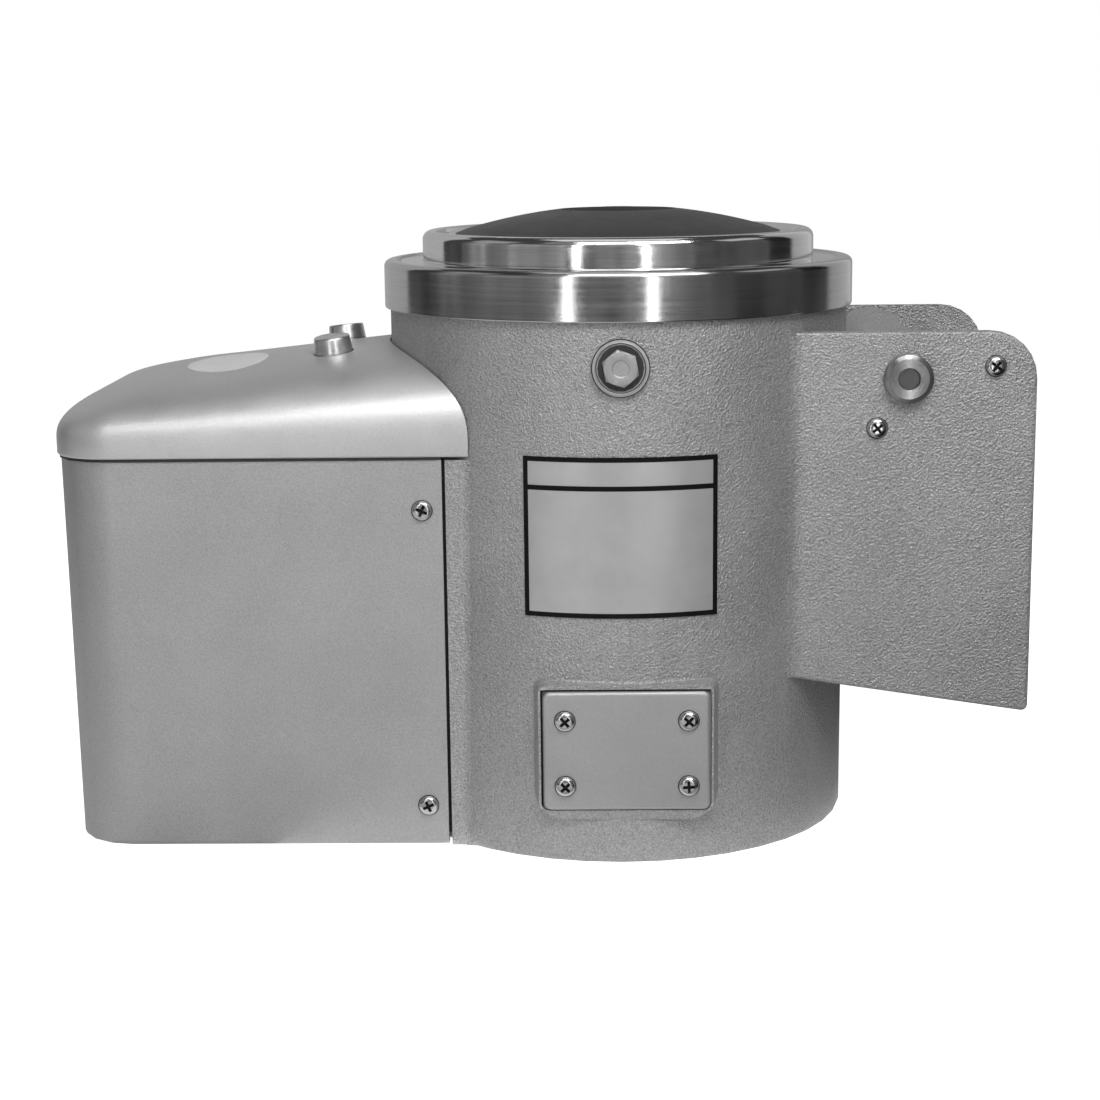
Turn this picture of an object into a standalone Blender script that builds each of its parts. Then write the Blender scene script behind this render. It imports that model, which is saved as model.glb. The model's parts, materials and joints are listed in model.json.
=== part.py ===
"""Bench potato rumbler: a cast drum with a spinning abrasive plate, a side motor and a discharge chute.

Metres, +Z up. The drum's axis stands on an empty, and every piece is laid out from that axis:
+X runs out through the discharge chute, -X through the motor, and -Y faces the user.
"""

from math import acos, asin, atan2, cos, degrees, hypot, pi, radians, sin, sqrt, tan

import bmesh
import bpy
from mathutils import Vector

# Fits and cuts
CLEARANCE = 0.0003
LOOSE_FIT = 0.0006
OVERRUN = 0.004
ROOT_BEARING = radians(30)
WIDE_ROOT_BEARING = radians(45)
SMOOTH_ANGLE = radians(38)

# How finely round shapes are divided
DRUM_STEPS = 40
LID_STEPS = 36
ROTOR_STEPS = 30
PART_STEPS = 18
INNER_STEPS = 14
SMALL_STEPS = 10
EDGE_STEPS = 3
CHEEK_STEPS = 6
SCREW_STEPS = 8
CORNER_STEPS = 4

# Drum casting
DRUM_RADIUS = 0.1630
DRUM_DRAFT = 0.0009
DRUM_HEIGHT = 0.3900
DRUM_WALL = 0.0095
DRUM_FOOT_ROUND = 0.0030
WEB_TOP = 0.0580
WEB_THICKNESS = 0.0080

# Polished rim pressed over the top of the drum
RIM_RADIUS = 0.1665
RIM_SKIRT = 0.0244
RIM_RISE = 0.0090
RIM_EDGE_ROUND = 0.0045
RIM_FOOT_CHAMFER = 0.0012
RIM_LIP_RADIUS = 0.1555
RIM_LIP_SLOPE = 0.0025
RIM_LEDGE_DEPTH = 0.0040
RIM_BORE_RADIUS = 0.1500

# Top cover, a spun shell that drops into the rim
COVER_FLANGE_RADIUS = 0.1550
COVER_FLANGE_THICKNESS = 0.0028
COVER_RADIUS = 0.1389
COVER_RISE = 0.0200
COVER_ROLL = 0.0062
COVER_WALL = 0.0040
COVER_DISH_RADIUS = 0.1262
COVER_DISH_DEPTH = 0.0038
COVER_SPIGOT_DEPTH = 0.0065
COVER_SPIGOT_WALL = 0.0040
FEED_RADIUS = 0.1050

# Rubber lid in the feed hole
LID_RADIUS = 0.1160
LID_LIP = 0.0012
LID_CROWN_HEIGHT = 0.0194
LID_DOME_RADIUS = 0.3750
LID_THICKNESS = 0.0050
LID_SPIGOT_WALL = 0.0070
LID_SPIGOT_DEPTH = 0.0072
LID_BADGE_RADIUS = 0.0410
LID_BADGE_DEPTH = 0.0009

# Abrasive liner round the peeling chamber
LINER_BOTTOM = 0.1000
LINER_DROP = 0.0020
LINER_THICKNESS = 0.0047

# Rotor plate with its abrasive waves
ROTOR_GAP = 0.0035
ROTOR_BOTTOM = 0.1080
ROTOR_THICKNESS = 0.0085
ROTOR_EDGE_ROUND = 0.0020
ROTOR_SKIRT_RADIUS = 0.0400
ROTOR_SKIRT_WALL = 0.0050
ROTOR_SKIRT_BOTTOM = 0.0860
ROTOR_DOME_RADIUS = 0.0280
ROTOR_DOME_TOP = 0.1310
ABRASIVE_THICKNESS = 0.0040
ABRASIVE_SETBACK = 0.0010
WAVE_HEIGHT = 0.0085
WAVE_LEAN_SHARE = 0.6
WAVE_RING_SHARES = (0.3, 0.6)
WAVE_COUNT = 3

# Main shaft, its bearings and their housing
SHAFT_RADIUS = 0.0125
SHAFT_BOTTOM = 0.0120
SHAFT_SHOULDER = 0.1020
SPIGOT_RADIUS = 0.0100
SPIGOT_TOP = 0.1215
SHAFT_CHAMFER = 0.0010
BEARING_RADIUS = 0.0235
BEARING_WIDTH = 0.0120
BEARING_RECESS = 0.0016
BEARING_RING_SHARE = 1 / 3
LOWER_BEARING_BOTTOM = 0.0440
UPPER_BEARING_BOTTOM = 0.0780
SEAL_BOTTOM = 0.0920
SEAL_WIDTH = 0.0070
SEAL_LIP = 0.0025
HOUSING_TUBE_RADIUS = 0.0300
HOUSING_SPIGOT_RADIUS = 0.0280
HOUSING_FLANGE_RADIUS = 0.0480
HOUSING_FLANGE_THICKNESS = 0.0070
HOUSING_TOP = 0.0995
HOUSING_SHOULDER_RADIUS = 0.0180

# Belt drive
PULLEY_BOTTOM = 0.0160
PULLEY_WIDTH = 0.0180
GROOVE_HALF_TOP = 0.0062
GROOVE_HALF_FLOOR = 0.0042
GROOVE_DEPTH = 0.0080
DRIVEN_PULLEY_RADIUS = 0.0850
DRIVEN_HUB_RADIUS = 0.0220
DRIVEN_RIM_WALL = 0.0050
DRIVEN_WEB = 0.0060
MOTOR_PULLEY_RADIUS = 0.0200
BELT_THICKNESS = 0.0062
BELT_HALF_OUTER = 0.0052
BELT_HALF_INNER = 0.0034

# Motor
MOTOR_AXIS_X = -0.2620
MOTOR_SHAFT_RADIUS = 0.0070
MOTOR_SHAFT_BOTTOM = 0.0120
MOTOR_SHAFT_TOP = 0.2260
MOTOR_PLATE_BOTTOM = 0.0520
MOTOR_PLATE_THICKNESS = 0.0060
MOTOR_PLATE_HALF_WIDTH = 0.0700
MOTOR_PLATE_END_X = -0.3330
MOTOR_PLATE_CORNER = 0.0120
MOTOR_RADIUS = 0.0620
MOTOR_HEIGHT = 0.1300
MOTOR_FIN_COUNT = 7
MOTOR_FIN_DEPTH = 0.0055
MOTOR_FIN_HALF_WIDTH = 0.0030
MOTOR_FOOT_RADIUS = 0.0640
MOTOR_FOOT_THICKNESS = 0.0100
COWL_RADIUS = 0.0660
COWL_HEIGHT = 0.0460
COWL_WALL = 0.0020
COWL_OVERLAP = 0.0100
COWL_GRILLE_RADIUS = 0.0420
FAN_RADIUS = 0.0520
FAN_HUB_RADIUS = 0.0150
FAN_BLADES = 5
FAN_BLADE_THICKNESS = 0.0030
FAN_HEIGHT = 0.0180
LEDGE_LENGTH = 0.0260
LEDGE_HALF_WIDTH = 0.0550
LEDGE_THICKNESS = 0.0062
CAPACITOR_RADIUS = 0.0190
CAPACITOR_LENGTH = 0.0850
CAPACITOR_X = -0.3560
CAPACITOR_Y = 0.0600

# Motor casing, a cast tub screwed over two wings of the drum
CASING_LEFT_FOOT = -0.3838
CASING_LEFT_TOP = -0.3860
CASING_RIGHT = -0.1204
CASING_HALF_FOOT = 0.1211
CASING_HALF_TOP = 0.1250
CASING_TOP = 0.2713
CASING_CORNER = 0.0420
CASING_WALL = 0.0042
CASING_FOOT_ROUND = 0.0040
WING_EDGE = -0.1181
WING_TAB_END = -0.1500
WING_TAB_THICKNESS = 0.0060
WING_THICKNESS = 0.0120
WING_FILLET = 0.0080
CASING_SCREW_X = -0.1341
CASING_SCREW_HEIGHTS = (0.0290, 0.2370)

# Domed cap over the motor
CAP_BOTTOM = 0.2735
CAP_RIM_HEIGHT = 0.0110
CAP_LEFT = -0.3878
CAP_RIGHT = -0.0850
CAP_HALF_WIDTH = 0.1278
CAP_CORNER = 0.0430
CAP_END_SHOULDER = 0.1050
CAP_DOME_RISE = 0.0579
CAP_FALL = 0.0222
CAP_POWER = 2.5
CAP_WALL = 0.0036
CAP_RINGS = 6
CAP_CREST_TURN = radians(89)
GASKET_WIDTH = 0.0080
GASKET_PROUD = 0.0010

# Push buttons on the cap
BUTTON_X = -0.2000
BUTTON_Y = 0.0450
BUTTON_BASE_RADIUS = 0.0137
BUTTON_TOP_RADIUS = 0.0127
BUTTON_HEIGHT = 0.0110
BUTTON_EDGE_ROUND = 0.0012
BUTTON_SKIRT = 0.0080
BUTTON_STEM_RADIUS = 0.0050
BUTTON_STEM_DEPTH = 0.0220
SWITCH_BARREL_RADIUS = 0.0172
SWITCH_BARREL_DEPTH = 0.0210
SWITCH_FLOOR_DEPTH = 0.0160
SWITCH_BODY_RADIUS = 0.0120
SWITCH_BODY_DEPTH = 0.0460
SWITCH_BORE_DEPTH = 0.0320

# Discharge chute: two cheeks and a sloping floor
CHEEK_FACE = 0.1124
CHEEK_THICKNESS = 0.0060
CHEEK_TOP = 0.3537
CHEEK_END = 0.2797
CHEEK_CORNER = 0.0326
CHEEK_FOOT_CORNER = 0.0040
CHEEK_EDGE_ROUND = 0.0026
CHEEK_FILLET = 0.0160
CHUTE_ROOT_X = 0.1249
CHUTE_ROOT_HEIGHT = 0.1146
CHUTE_END_HEIGHT = 0.0910
CHUTE_FLOOR = 0.0060
TUNNEL_HALF_WIDTH = 0.0980
TUNNEL_SILL_X = 0.1500
TUNNEL_TOP = 0.2700
SILL_STEP = 0.0010
LINTEL_THICKNESS = 0.0070
JAMB_FACE = 0.1745

# Discharge door, hung between the cheeks
PIVOT_X = 0.1929
PIVOT_DROP = 0.0311
PIVOT_SHAFT_RADIUS = 0.0080
PIVOT_CAP_RADIUS = 0.0165
PIVOT_CAP_THICKNESS = 0.0080
PIVOT_CAP_DISH_RADIUS = 0.0068
PIVOT_CAP_DISH_DEPTH = 0.0025
PIVOT_CAP_CHAMFER = 0.0016
DOOR_SEAL = 0.0030
SEAL_CORNER = 0.0035
DOOR_PLATE = 0.0060
DOOR_HALF_WIDTH = 0.1040
DOOR_BOTTOM = 0.1165
DOOR_OVERLAP = 0.0055
DOOR_PAD_GAP = 0.0020
DOOR_PAD_BOTTOM = 0.1215
DOOR_PAD_WALL = 0.0050
DOOR_POCKET_BEARING = radians(15)
DOOR_SETBACK = 0.0050
DOOR_SWEEP_RADIUS = 0.2080
DOOR_EAR_THICKNESS = 0.0060
DOOR_EAR_RADIUS = 0.0305
DOOR_ARM_OUTSIDE = 0.0096
DOOR_ARM_SHOULDER = 0.2450
DOOR_ARM_FOOT = 0.1750
HANDLE_HEIGHT = 0.1500
HANDLE_REACH = 0.0290
HANDLE_RADIUS = 0.0060
HANDLE_BEND = 0.0140
HANDLE_INSET = 0.0060

# Stop pegs for the door, screwed through the cheeks
CLOSED_STOP_BEHIND = 0.0201
CLOSED_STOP_DROP = 0.0336
OPEN_STOP_AHEAD = 0.0585
OPEN_STOP_RISE = 0.0075
PEG_RADIUS = 0.0050
PEG_LENGTH = 0.0100

# Pan-head screws
SCREW_HEAD_RADIUS = 0.0068
SCREW_HEAD_HEIGHT = 0.0036
SCREW_HEAD_EDGE = 0.0010
SCREW_SHOULDER_SHARE = 0.75
SCREW_SHANK_RADIUS = 0.0024
SCREW_HOLE_RADIUS = 0.0028
SCREW_LENGTH = 0.0110
SCREW_HOLE_DEPTH = 0.0130

# Access pad and plate on the front of the drum
PLATE_LEFT = -0.0534
PLATE_RIGHT = 0.0593
PLATE_BOTTOM = 0.0386
PLATE_TOP = 0.1208
PLATE_FACE = 0.1662
PLATE_THICKNESS = 0.0045
PLATE_CORNER = 0.0052
PLATE_EDGE_ROUND = 0.0028
PAD_LIP = 0.0017
PAD_RIM_SIDE = 0.0015
PAD_RIM_TOP = 0.0031
PAD_RIM_BOTTOM = 0.0010
PAD_CORNER = 0.0055
PAD_CHIN_CORNER = 0.0160
PAD_CHIN_HEIGHT = 0.0060
PAD_CHIN_DEPTH = 0.0025
PAD_DRAFT = radians(13)
PAD_LEDGE_SLOPE = radians(6.5)
PAD_BLEND = 0.0018
PAD_BLEND_ROOT = 0.0015
PAD_BLEND_STEPS = 8
BLEND_END_SHARE = 0.25
RECESS_CORNER = 0.0010
RECESS_GAP_LEFT = 0.0013
RECESS_GAP_TOP = 0.0012
ACCESS_SCREW_XS = (-0.0384, 0.0443)
ACCESS_SCREW_HEIGHTS = (0.0558, 0.1009)
PORT_LEFT = -0.0280
PORT_RIGHT = 0.0340
PORT_BOTTOM = 0.0640
PORT_TOP = 0.0930
PORT_CORNER = 0.0060

# Water connections near the top of the drum
INLET_DROP = 0.0292
INLET_BOSS_RADIUS = 0.0194
INLET_BOSS_PROUD = 0.0022
INLET_SEAT_RADIUS = 0.0152
INLET_RECESS_DEPTH = 0.0018
INLET_BORE_RADIUS = 0.0085
WASHER_THICKNESS = 0.0014
PLUG_ACROSS_FLATS = 0.0220
PLUG_HEAD = 0.0040
PLUG_TURN = radians(40)
PLUG_SHANK = 0.0105
PLUG_PIP_RADIUS = 0.0054
PLUG_PIP_HEIGHT = 0.0005
TAIL_RADIUS = 0.0080
TAIL_BORE_RADIUS = 0.0055
TAIL_BARB = 0.0012
TAIL_BARB_LENGTH = 0.0080
TAIL_END = 0.1950
UNION_RADIUS = 0.0125
UNION_THICKNESS = 0.0080

# Waste outlet at the back, under the rotor plate
OUTLET_HEIGHT = 0.0840
OUTLET_RADIUS = 0.0210
OUTLET_BORE_RADIUS = 0.0180
OUTLET_COLLAR_RADIUS = 0.0270
OUTLET_COLLAR_THICKNESS = 0.0050
OUTLET_BOSS_RADIUS = 0.0300
OUTLET_BOSS_FACE = 0.1660
OUTLET_BEAD = 0.0015
OUTLET_END = 0.1950

# Cable gland at the back of the motor casing
GLAND_X = -0.2900
GLAND_HEIGHT = 0.0600
GLAND_RADIUS = 0.0110
GLAND_BORE_RADIUS = 0.0042
GLAND_HEX_THICKNESS = 0.0060
GLAND_NOSE = 0.0120
GLAND_NOSE_SHARE = 0.7
GLAND_THREAD_RADIUS = 0.0080

# Sheet under the drive
BASE_PLATE_BOTTOM = 0.0030
BASE_PLATE_THICKNESS = 0.0025

# Belt way through the drum wall
BELT_WAY_HALF_WIDTH = 0.0640
BELT_WAY_BOTTOM = 0.0105
BELT_WAY_TOP = 0.0440

# Values that follow from those above
DRUM_BORE = DRUM_RADIUS - DRUM_WALL
LINER_RADIUS = DRUM_BORE - CLEARANCE
CHAMBER_RADIUS = LINER_RADIUS - LINER_THICKNESS
ROTOR_RADIUS = CHAMBER_RADIUS - ROTOR_GAP
RIM_BOTTOM = DRUM_HEIGHT - RIM_SKIRT
RIM_TOP = DRUM_HEIGHT + RIM_RISE
COVER_TOP = RIM_TOP + COVER_RISE
LINER_TOP = DRUM_HEIGHT - LINER_DROP
CAP_RIDGE = CAP_BOTTOM + CAP_RIM_HEIGHT + CAP_DOME_RISE
LEDGE_HEIGHT = RIM_TOP - RIM_LEDGE_DEPTH
COVER_SEAT = LEDGE_HEIGHT + CLEARANCE
DISH_HEIGHT = COVER_TOP - COVER_DISH_DEPTH
LID_SEAT = DISH_HEIGHT + CLEARANCE
ROTOR_TOP = ROTOR_BOTTOM + ROTOR_THICKNESS
DOOR_INNER_X = JAMB_FACE + DOOR_SEAL + 2 * CLEARANCE
DOOR_OUTER_X = DOOR_INNER_X + DOOR_PLATE
DOOR_TOP = TUNNEL_TOP + DOOR_OVERLAP
CHEEK_INSIDE = CHEEK_FACE - CHEEK_THICKNESS
PULLEY_MIDDLE = PULLEY_BOTTOM + PULLEY_WIDTH / 2
MOTOR_BASE = MOTOR_PLATE_BOTTOM + MOTOR_PLATE_THICKNESS + CLEARANCE
PIVOT_HEIGHT = CHEEK_TOP - PIVOT_DROP
INLET_HEIGHT = RIM_BOTTOM - INLET_DROP
RECESS_FLOOR = PLATE_FACE - PLATE_THICKNESS - CLEARANCE
PAD_FACE = PLATE_FACE - PAD_LIP
SCREW_STANDOFF = SCREW_HEAD_HEIGHT + CLEARANCE
WALL_MIDDLE = DRUM_RADIUS - DRUM_WALL / 2
MOTOR_LEDGE_TOP = MOTOR_PLATE_BOTTOM - CLEARANCE
MOTOR_LEDGE_BOTTOM = MOTOR_LEDGE_TOP - LEDGE_THICKNESS
FRONT_REACH = PLATE_FACE + SCREW_STANDOFF
ORIGIN_SHIFT = Vector((-(CHEEK_END + CAP_LEFT) / 2, (FRONT_REACH - TAIL_END) / 2, 0.0))

# Finishes: colour, roughness, metallic
CAST = ((0.56, 0.56, 0.57), 0.55, 0.7)
POLISHED = ((0.78, 0.78, 0.78), 0.16, 1.0)
STEEL = ((0.62, 0.62, 0.63), 0.32, 1.0)
DARK_STEEL = ((0.20, 0.20, 0.21), 0.45, 0.9)
RUBBER = ((0.02, 0.02, 0.022), 0.35, 0.0)
ABRASIVE = ((0.12, 0.11, 0.10), 0.95, 0.0)
PLASTIC = ((0.04, 0.04, 0.045), 0.5, 0.0)
BRASS = ((0.62, 0.47, 0.22), 0.35, 1.0)


def clear_scene():
    for obj in list(bpy.data.objects):
        bpy.data.objects.remove(obj, do_unlink=True)


def drum_axis():
    """The empty that stands on the drum's axis and carries every piece."""
    axis = bpy.data.objects.new("drum_axis", None)
    axis.location = ORIGIN_SHIFT
    bpy.context.scene.collection.objects.link(axis)
    return axis


def mesh_object(name, shape):
    """A mesh object from a bmesh, with its faces turned outwards."""
    bmesh.ops.recalc_face_normals(shape, faces=shape.faces)
    mesh = bpy.data.meshes.new(name)
    shape.to_mesh(mesh)
    shape.free()
    mesh.shade_smooth()
    mesh.set_sharp_from_angle(angle=SMOOTH_ANGLE)
    obj = bpy.data.objects.new(name, mesh)
    bpy.context.scene.collection.objects.link(obj)
    obj.parent = bpy.data.objects["drum_axis"]
    return obj


def arc(centre_u, centre_v, radius, start, end, steps=CORNER_STEPS):
    """Points of an arc from one angle to another, in degrees."""
    turns = [radians(start + (end - start) * step / steps) for step in range(steps + 1)]
    return [(centre_u + radius * cos(turn), centre_v + radius * sin(turn)) for turn in turns]


def rounded_rectangle(low_u, high_u, low_v, high_v, radius, steps=CORNER_STEPS, foot=0):
    """A rectangle's outline with round corners, counter-clockwise; its foot may have a radius of its own."""
    foot = foot or radius
    return (
        arc(high_u - radius, high_v - radius, radius, 0, 90, steps)
        + arc(low_u + radius, high_v - radius, radius, 90, 180, steps)
        + arc(low_u + foot, low_v + foot, foot, 180, 270, steps)
        + arc(high_u - foot, low_v + foot, foot, 270, 360, steps)
    )


def polygon(sides, across_flats, turn):
    """A regular polygon's corners, from its width across flats."""
    radius = across_flats / 2 / cos(pi / sides)
    return [(radius * cos(turn + 2 * pi * side / sides), radius * sin(turn + 2 * pi * side / sides))
            for side in range(sides)]


def add_loft(shape, rings):
    """Joins rings of points by quads and closes both ends."""
    rows = [[shape.verts.new(point) for point in ring] for ring in rings]
    for first, second in zip(rows, rows[1:]):
        for index in range(len(first)):
            after = (index + 1) % len(first)
            shape.faces.new((first[index], first[after], second[after], second[index]))
    shape.faces.new(rows[0])
    shape.faces.new(rows[-1])


def lofted(name, rings):
    shape = bmesh.new()
    add_loft(shape, rings)
    return mesh_object(name, shape)


def on_axis(axis, u, v, along):
    """A point of an outline drawn across X, Y or Z, at a distance along that axis."""
    return {"X": (along, u, v), "Y": (u, along, v), "Z": (u, v, along)}[axis]


def prism(name, outline, low, high, axis="Z"):
    """An outline extruded along X (outline in Y, Z), Y (in X, Z) or Z (in X, Y)."""
    rings = [[on_axis(axis, u, v, along) for u, v in outline] for along in (low, high)]
    return lofted(name, rings)


def prisms(name, solids):
    """Several prisms in one mesh, each an (outline, low, high, axis), for a cutter or a union."""
    shape = bmesh.new()
    for outline, low, high, axis in solids:
        add_loft(shape, [[on_axis(axis, u, v, along) for u, v in outline] for along in (low, high)])
    return mesh_object(name, shape)


def round_bar(centre_u, centre_v, radius, low, high, axis, steps=SMALL_STEPS):
    """A cylinder for prisms(), centred at a point across its axis."""
    return arc(centre_u, centre_v, radius, 0, 360 - 360 / steps, steps - 1), low, high, axis


def revolved(name, outline, steps=PART_STEPS, lift=None):
    """Turns (radius, height) points about Z. A radius of zero is a point on the axis.

    lift(radius, angle), where given, raises the points of the outline that carry a third value.
    """
    shape = bmesh.new()
    rows = []
    for point in outline:
        radius, height = point[:2]
        if radius == 0:
            rows.append([shape.verts.new((0, 0, height))])
            continue
        row = []
        for step in range(steps):
            turn = 2 * pi * step / steps
            rise = lift(radius, turn) * point[2] if len(point) > 2 else 0
            row.append(shape.verts.new((radius * cos(turn), radius * sin(turn), height + rise)))
        rows.append(row)
    for first, second in zip(rows, rows[1:] + rows[:1]):
        if len(first) == 1 and len(second) == 1:
            continue
        for index in range(steps):
            after = (index + 1) % steps
            corners = [first[index % len(first)], first[after % len(first)],
                       second[after % len(second)], second[index % len(second)]]
            shape.faces.new(list(dict.fromkeys(corners)))
    return mesh_object(name, shape)


def hide(obj):
    obj.hide_render = True
    obj.display_type = "WIRE"


def combine(target, others, operation):
    """Adds a Boolean for each of the others, which then only help to shape the target."""
    for other in others:
        modifier = target.modifiers.new(other.name, "BOOLEAN")
        modifier.operation = operation
        modifier.solver = "EXACT"
        modifier.object = other
        hide(other)


def rounded(obj, width, segments=2):
    """Rounds an object's sharp edges."""
    modifier = obj.modifiers.new("edge_round", "BEVEL")
    modifier.width = width
    modifier.segments = segments
    modifier.limit_method = "ANGLE"
    modifier.angle_limit = SMOOTH_ANGLE


def finished(obj, finish):
    """Gives a piece its own material."""
    colour, roughness, metallic = finish
    material = bpy.data.materials.new(obj.name)
    material.use_nodes = True
    shader = material.node_tree.nodes["Principled BSDF"]
    shader.inputs["Base Color"].default_value = (*colour, 1.0)
    shader.inputs["Roughness"].default_value = roughness
    shader.inputs["Metallic"].default_value = metallic
    obj.data.materials.clear()
    obj.data.materials.append(material)
    even = obj.modifiers.new("even_shading", "WEIGHTED_NORMAL")
    even.keep_sharp = True
    return obj


def aimed(obj, location, direction):
    """Places a piece whose own Z axis points along a direction."""
    obj.location = location
    obj.rotation_euler = Vector(direction).to_track_quat("Z", "Y").to_euler()
    return obj


def with_origin(obj, point):
    """Moves a piece's origin onto its joint, leaving its shape where it is."""
    for vertex in obj.data.vertices:
        vertex.co -= Vector(point)
    obj.location = point
    return obj


def drum_radius_at(height):
    return DRUM_RADIUS - DRUM_DRAFT * (1 - height / DRUM_HEIGHT)


def chute_underside(x):
    slope = (CHUTE_END_HEIGHT - CHUTE_ROOT_HEIGHT) / (CHEEK_END - CHUTE_ROOT_X)
    return CHUTE_ROOT_HEIGHT + slope * (x - CHUTE_ROOT_X)


def chute_floor(x):
    return chute_underside(x) + CHUTE_FLOOR


def casing_half_width(height):
    return CASING_HALF_FOOT + (CASING_HALF_TOP - CASING_HALF_FOOT) * height / CASING_TOP


def casing_left(height):
    return CASING_LEFT_FOOT + (CASING_LEFT_TOP - CASING_LEFT_FOOT) * height / CASING_TOP


def fillet_to_drum(face, radius, height):
    """Concave arc in plan from a flat side face, at Y = face, to the drum: (x, y) points at +X."""
    drum = drum_radius_at(height)
    centre_x = sqrt((drum + radius) ** 2 - (face + radius) ** 2)
    end = degrees(atan2(-(face + radius), -centre_x)) + 360
    return arc(centre_x, face + radius, radius, 270, end)


def chute_block():
    """The cheeks, floor and lintel as one block, before the drum's bore is cut."""
    inner_x = CHUTE_ROOT_X - CHEEK_FILLET
    side = [(inner_x, chute_underside(inner_x))]
    foot = CHEEK_FOOT_CORNER
    fall = degrees(atan2(CHUTE_END_HEIGHT - CHUTE_ROOT_HEIGHT, CHEEK_END - CHUTE_ROOT_X))
    centre_x = CHEEK_END - foot
    side += arc(centre_x, chute_underside(centre_x) + foot / cos(radians(fall)), foot, 270 + fall, 360,
                EDGE_STEPS)
    side += arc(CHEEK_END - CHEEK_CORNER, CHEEK_TOP - CHEEK_CORNER, CHEEK_CORNER, 0, 90, CHEEK_STEPS)
    side.append((inner_x, CHEEK_TOP))
    block = prism("chute_block", side, -CHEEK_FACE, CHEEK_FACE, "Y")
    rounded(block, CHEEK_EDGE_ROUND)
    past_end = CHEEK_END + OVERRUN
    past_top = CHEEK_TOP + OVERRUN
    channel = [(JAMB_FACE, chute_floor(JAMB_FACE) - SILL_STEP),
               (past_end, chute_floor(past_end) - SILL_STEP),
               (past_end, past_top), (JAMB_FACE, past_top)]
    over_lintel = [(inner_x - OVERRUN, TUNNEL_TOP + LINTEL_THICKNESS),
                   (JAMB_FACE + OVERRUN, TUNNEL_TOP + LINTEL_THICKNESS),
                   (JAMB_FACE + OVERRUN, past_top), (inner_x - OVERRUN, past_top)]
    cutters = [prism("chute_channel", channel, -CHEEK_INSIDE, CHEEK_INSIDE, "Y"),
               prism("lintel_top", over_lintel, -CHEEK_INSIDE, CHEEK_INSIDE, "Y")]
    combine(block, cutters, "DIFFERENCE")
    return block


def chute_fillets():
    """The concave blends where the cheeks leave the drum."""
    low = chute_underside(CHUTE_ROOT_X) + CHEEK_EDGE_ROUND
    high = CHEEK_TOP - CHEEK_EDGE_ROUND
    solids = []
    for side in (1, -1):
        curve = fillet_to_drum(CHEEK_FACE, CHEEK_FILLET, high)
        outline = curve + [(curve[-1][0] - CHEEK_FILLET, curve[-1][1]),
                           (curve[-1][0] - CHEEK_FILLET, CHEEK_INSIDE),
                           (curve[0][0], CHEEK_INSIDE)]
        solids.append(([(x, side * y) for x, y in outline], low, high, "Z"))
    return prisms("chute_fillets", solids)


def tunnel(name, margin):
    """Cutter for the way out of the chamber, between the jambs."""
    outline = [(0, chute_floor(TUNNEL_SILL_X) - margin),
               (TUNNEL_SILL_X, chute_floor(TUNNEL_SILL_X) - margin),
               (JAMB_FACE + OVERRUN, chute_floor(JAMB_FACE + OVERRUN) - margin),
               (JAMB_FACE + OVERRUN, TUNNEL_TOP + margin), (0, TUNNEL_TOP + margin)]
    return prism(name, outline, -TUNNEL_HALF_WIDTH - margin, TUNNEL_HALF_WIDTH + margin, "Y")


def wing_ring(height, side):
    """Plan of one wing: its flat face beside the casing, blended into the drum."""
    face = casing_half_width(height)
    curve = [(-x, y) for x, y in fillet_to_drum(face, WING_FILLET, height)]
    root_x = curve[-1][0] + WING_THICKNESS
    inner = face - WING_THICKNESS
    outline = [(WING_EDGE, face)] + curve + [(root_x, curve[-1][1]), (root_x, inner), (WING_EDGE, inner)]
    return [(x, side * y, height) for x, y in outline]


def tab_ring(height, side):
    """Plan of the tab that a wing puts inside the casing."""
    face = casing_half_width(height) - CASING_WALL - CLEARANCE
    ends = (WING_TAB_END, WING_EDGE + WING_THICKNESS / 2)
    return [(x, side * y, height) for x, y in
            ((ends[0], face), (ends[1], face), (ends[1], face - WING_TAB_THICKNESS),
             (ends[0], face - WING_TAB_THICKNESS))]


def drum_wings():
    """The two upright wings of the drum that carry the motor casing."""
    shape = bmesh.new()
    for side in (1, -1):
        add_loft(shape, [wing_ring(height, side) for height in (0, CASING_TOP)])
    return mesh_object("drum_wings", shape)


def wing_tabs():
    """The tabs of the wings, which start above the casing's rounded foot."""
    shape = bmesh.new()
    for side in (1, -1):
        add_loft(shape,
                 [tab_ring(height, side)
                  for height in (CASING_WALL + CASING_FOOT_ROUND + CLEARANCE, CASING_TOP)])
    return mesh_object("wing_tabs", shape)


def pad_top():
    return PLATE_TOP + RECESS_GAP_TOP + PAD_RIM_TOP


def pad_ring(depth, drop, foot):
    """Front view of the access pad at a distance from the drum's axis, wider and higher farther back."""
    spread = PAD_RIM_SIDE + (PAD_FACE - depth) * tan(PAD_DRAFT)
    outline = rounded_rectangle(PLATE_LEFT - RECESS_GAP_LEFT - spread, PLATE_RIGHT + CLEARANCE + spread,
                                PLATE_BOTTOM - CLEARANCE - PAD_RIM_BOTTOM - drop,
                                pad_top() + (PAD_FACE - depth) * tan(PAD_LEDGE_SLOPE), PAD_CORNER,
                                foot=foot)
    return [(x, -depth, z) for x, z in outline]


def access_pad():
    """The drafted block under the access plate, with a sloping ledge above and a chin below."""
    rings = [pad_ring(PAD_FACE, 0, PAD_CORNER),
             pad_ring(PAD_FACE - PAD_CHIN_DEPTH, PAD_CHIN_HEIGHT, PAD_CHIN_CORNER),
             pad_ring(DRUM_BORE * cos(ROOT_BEARING), PAD_CHIN_HEIGHT, PAD_CHIN_CORNER)]
    return lofted("access_pad", rings)


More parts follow.
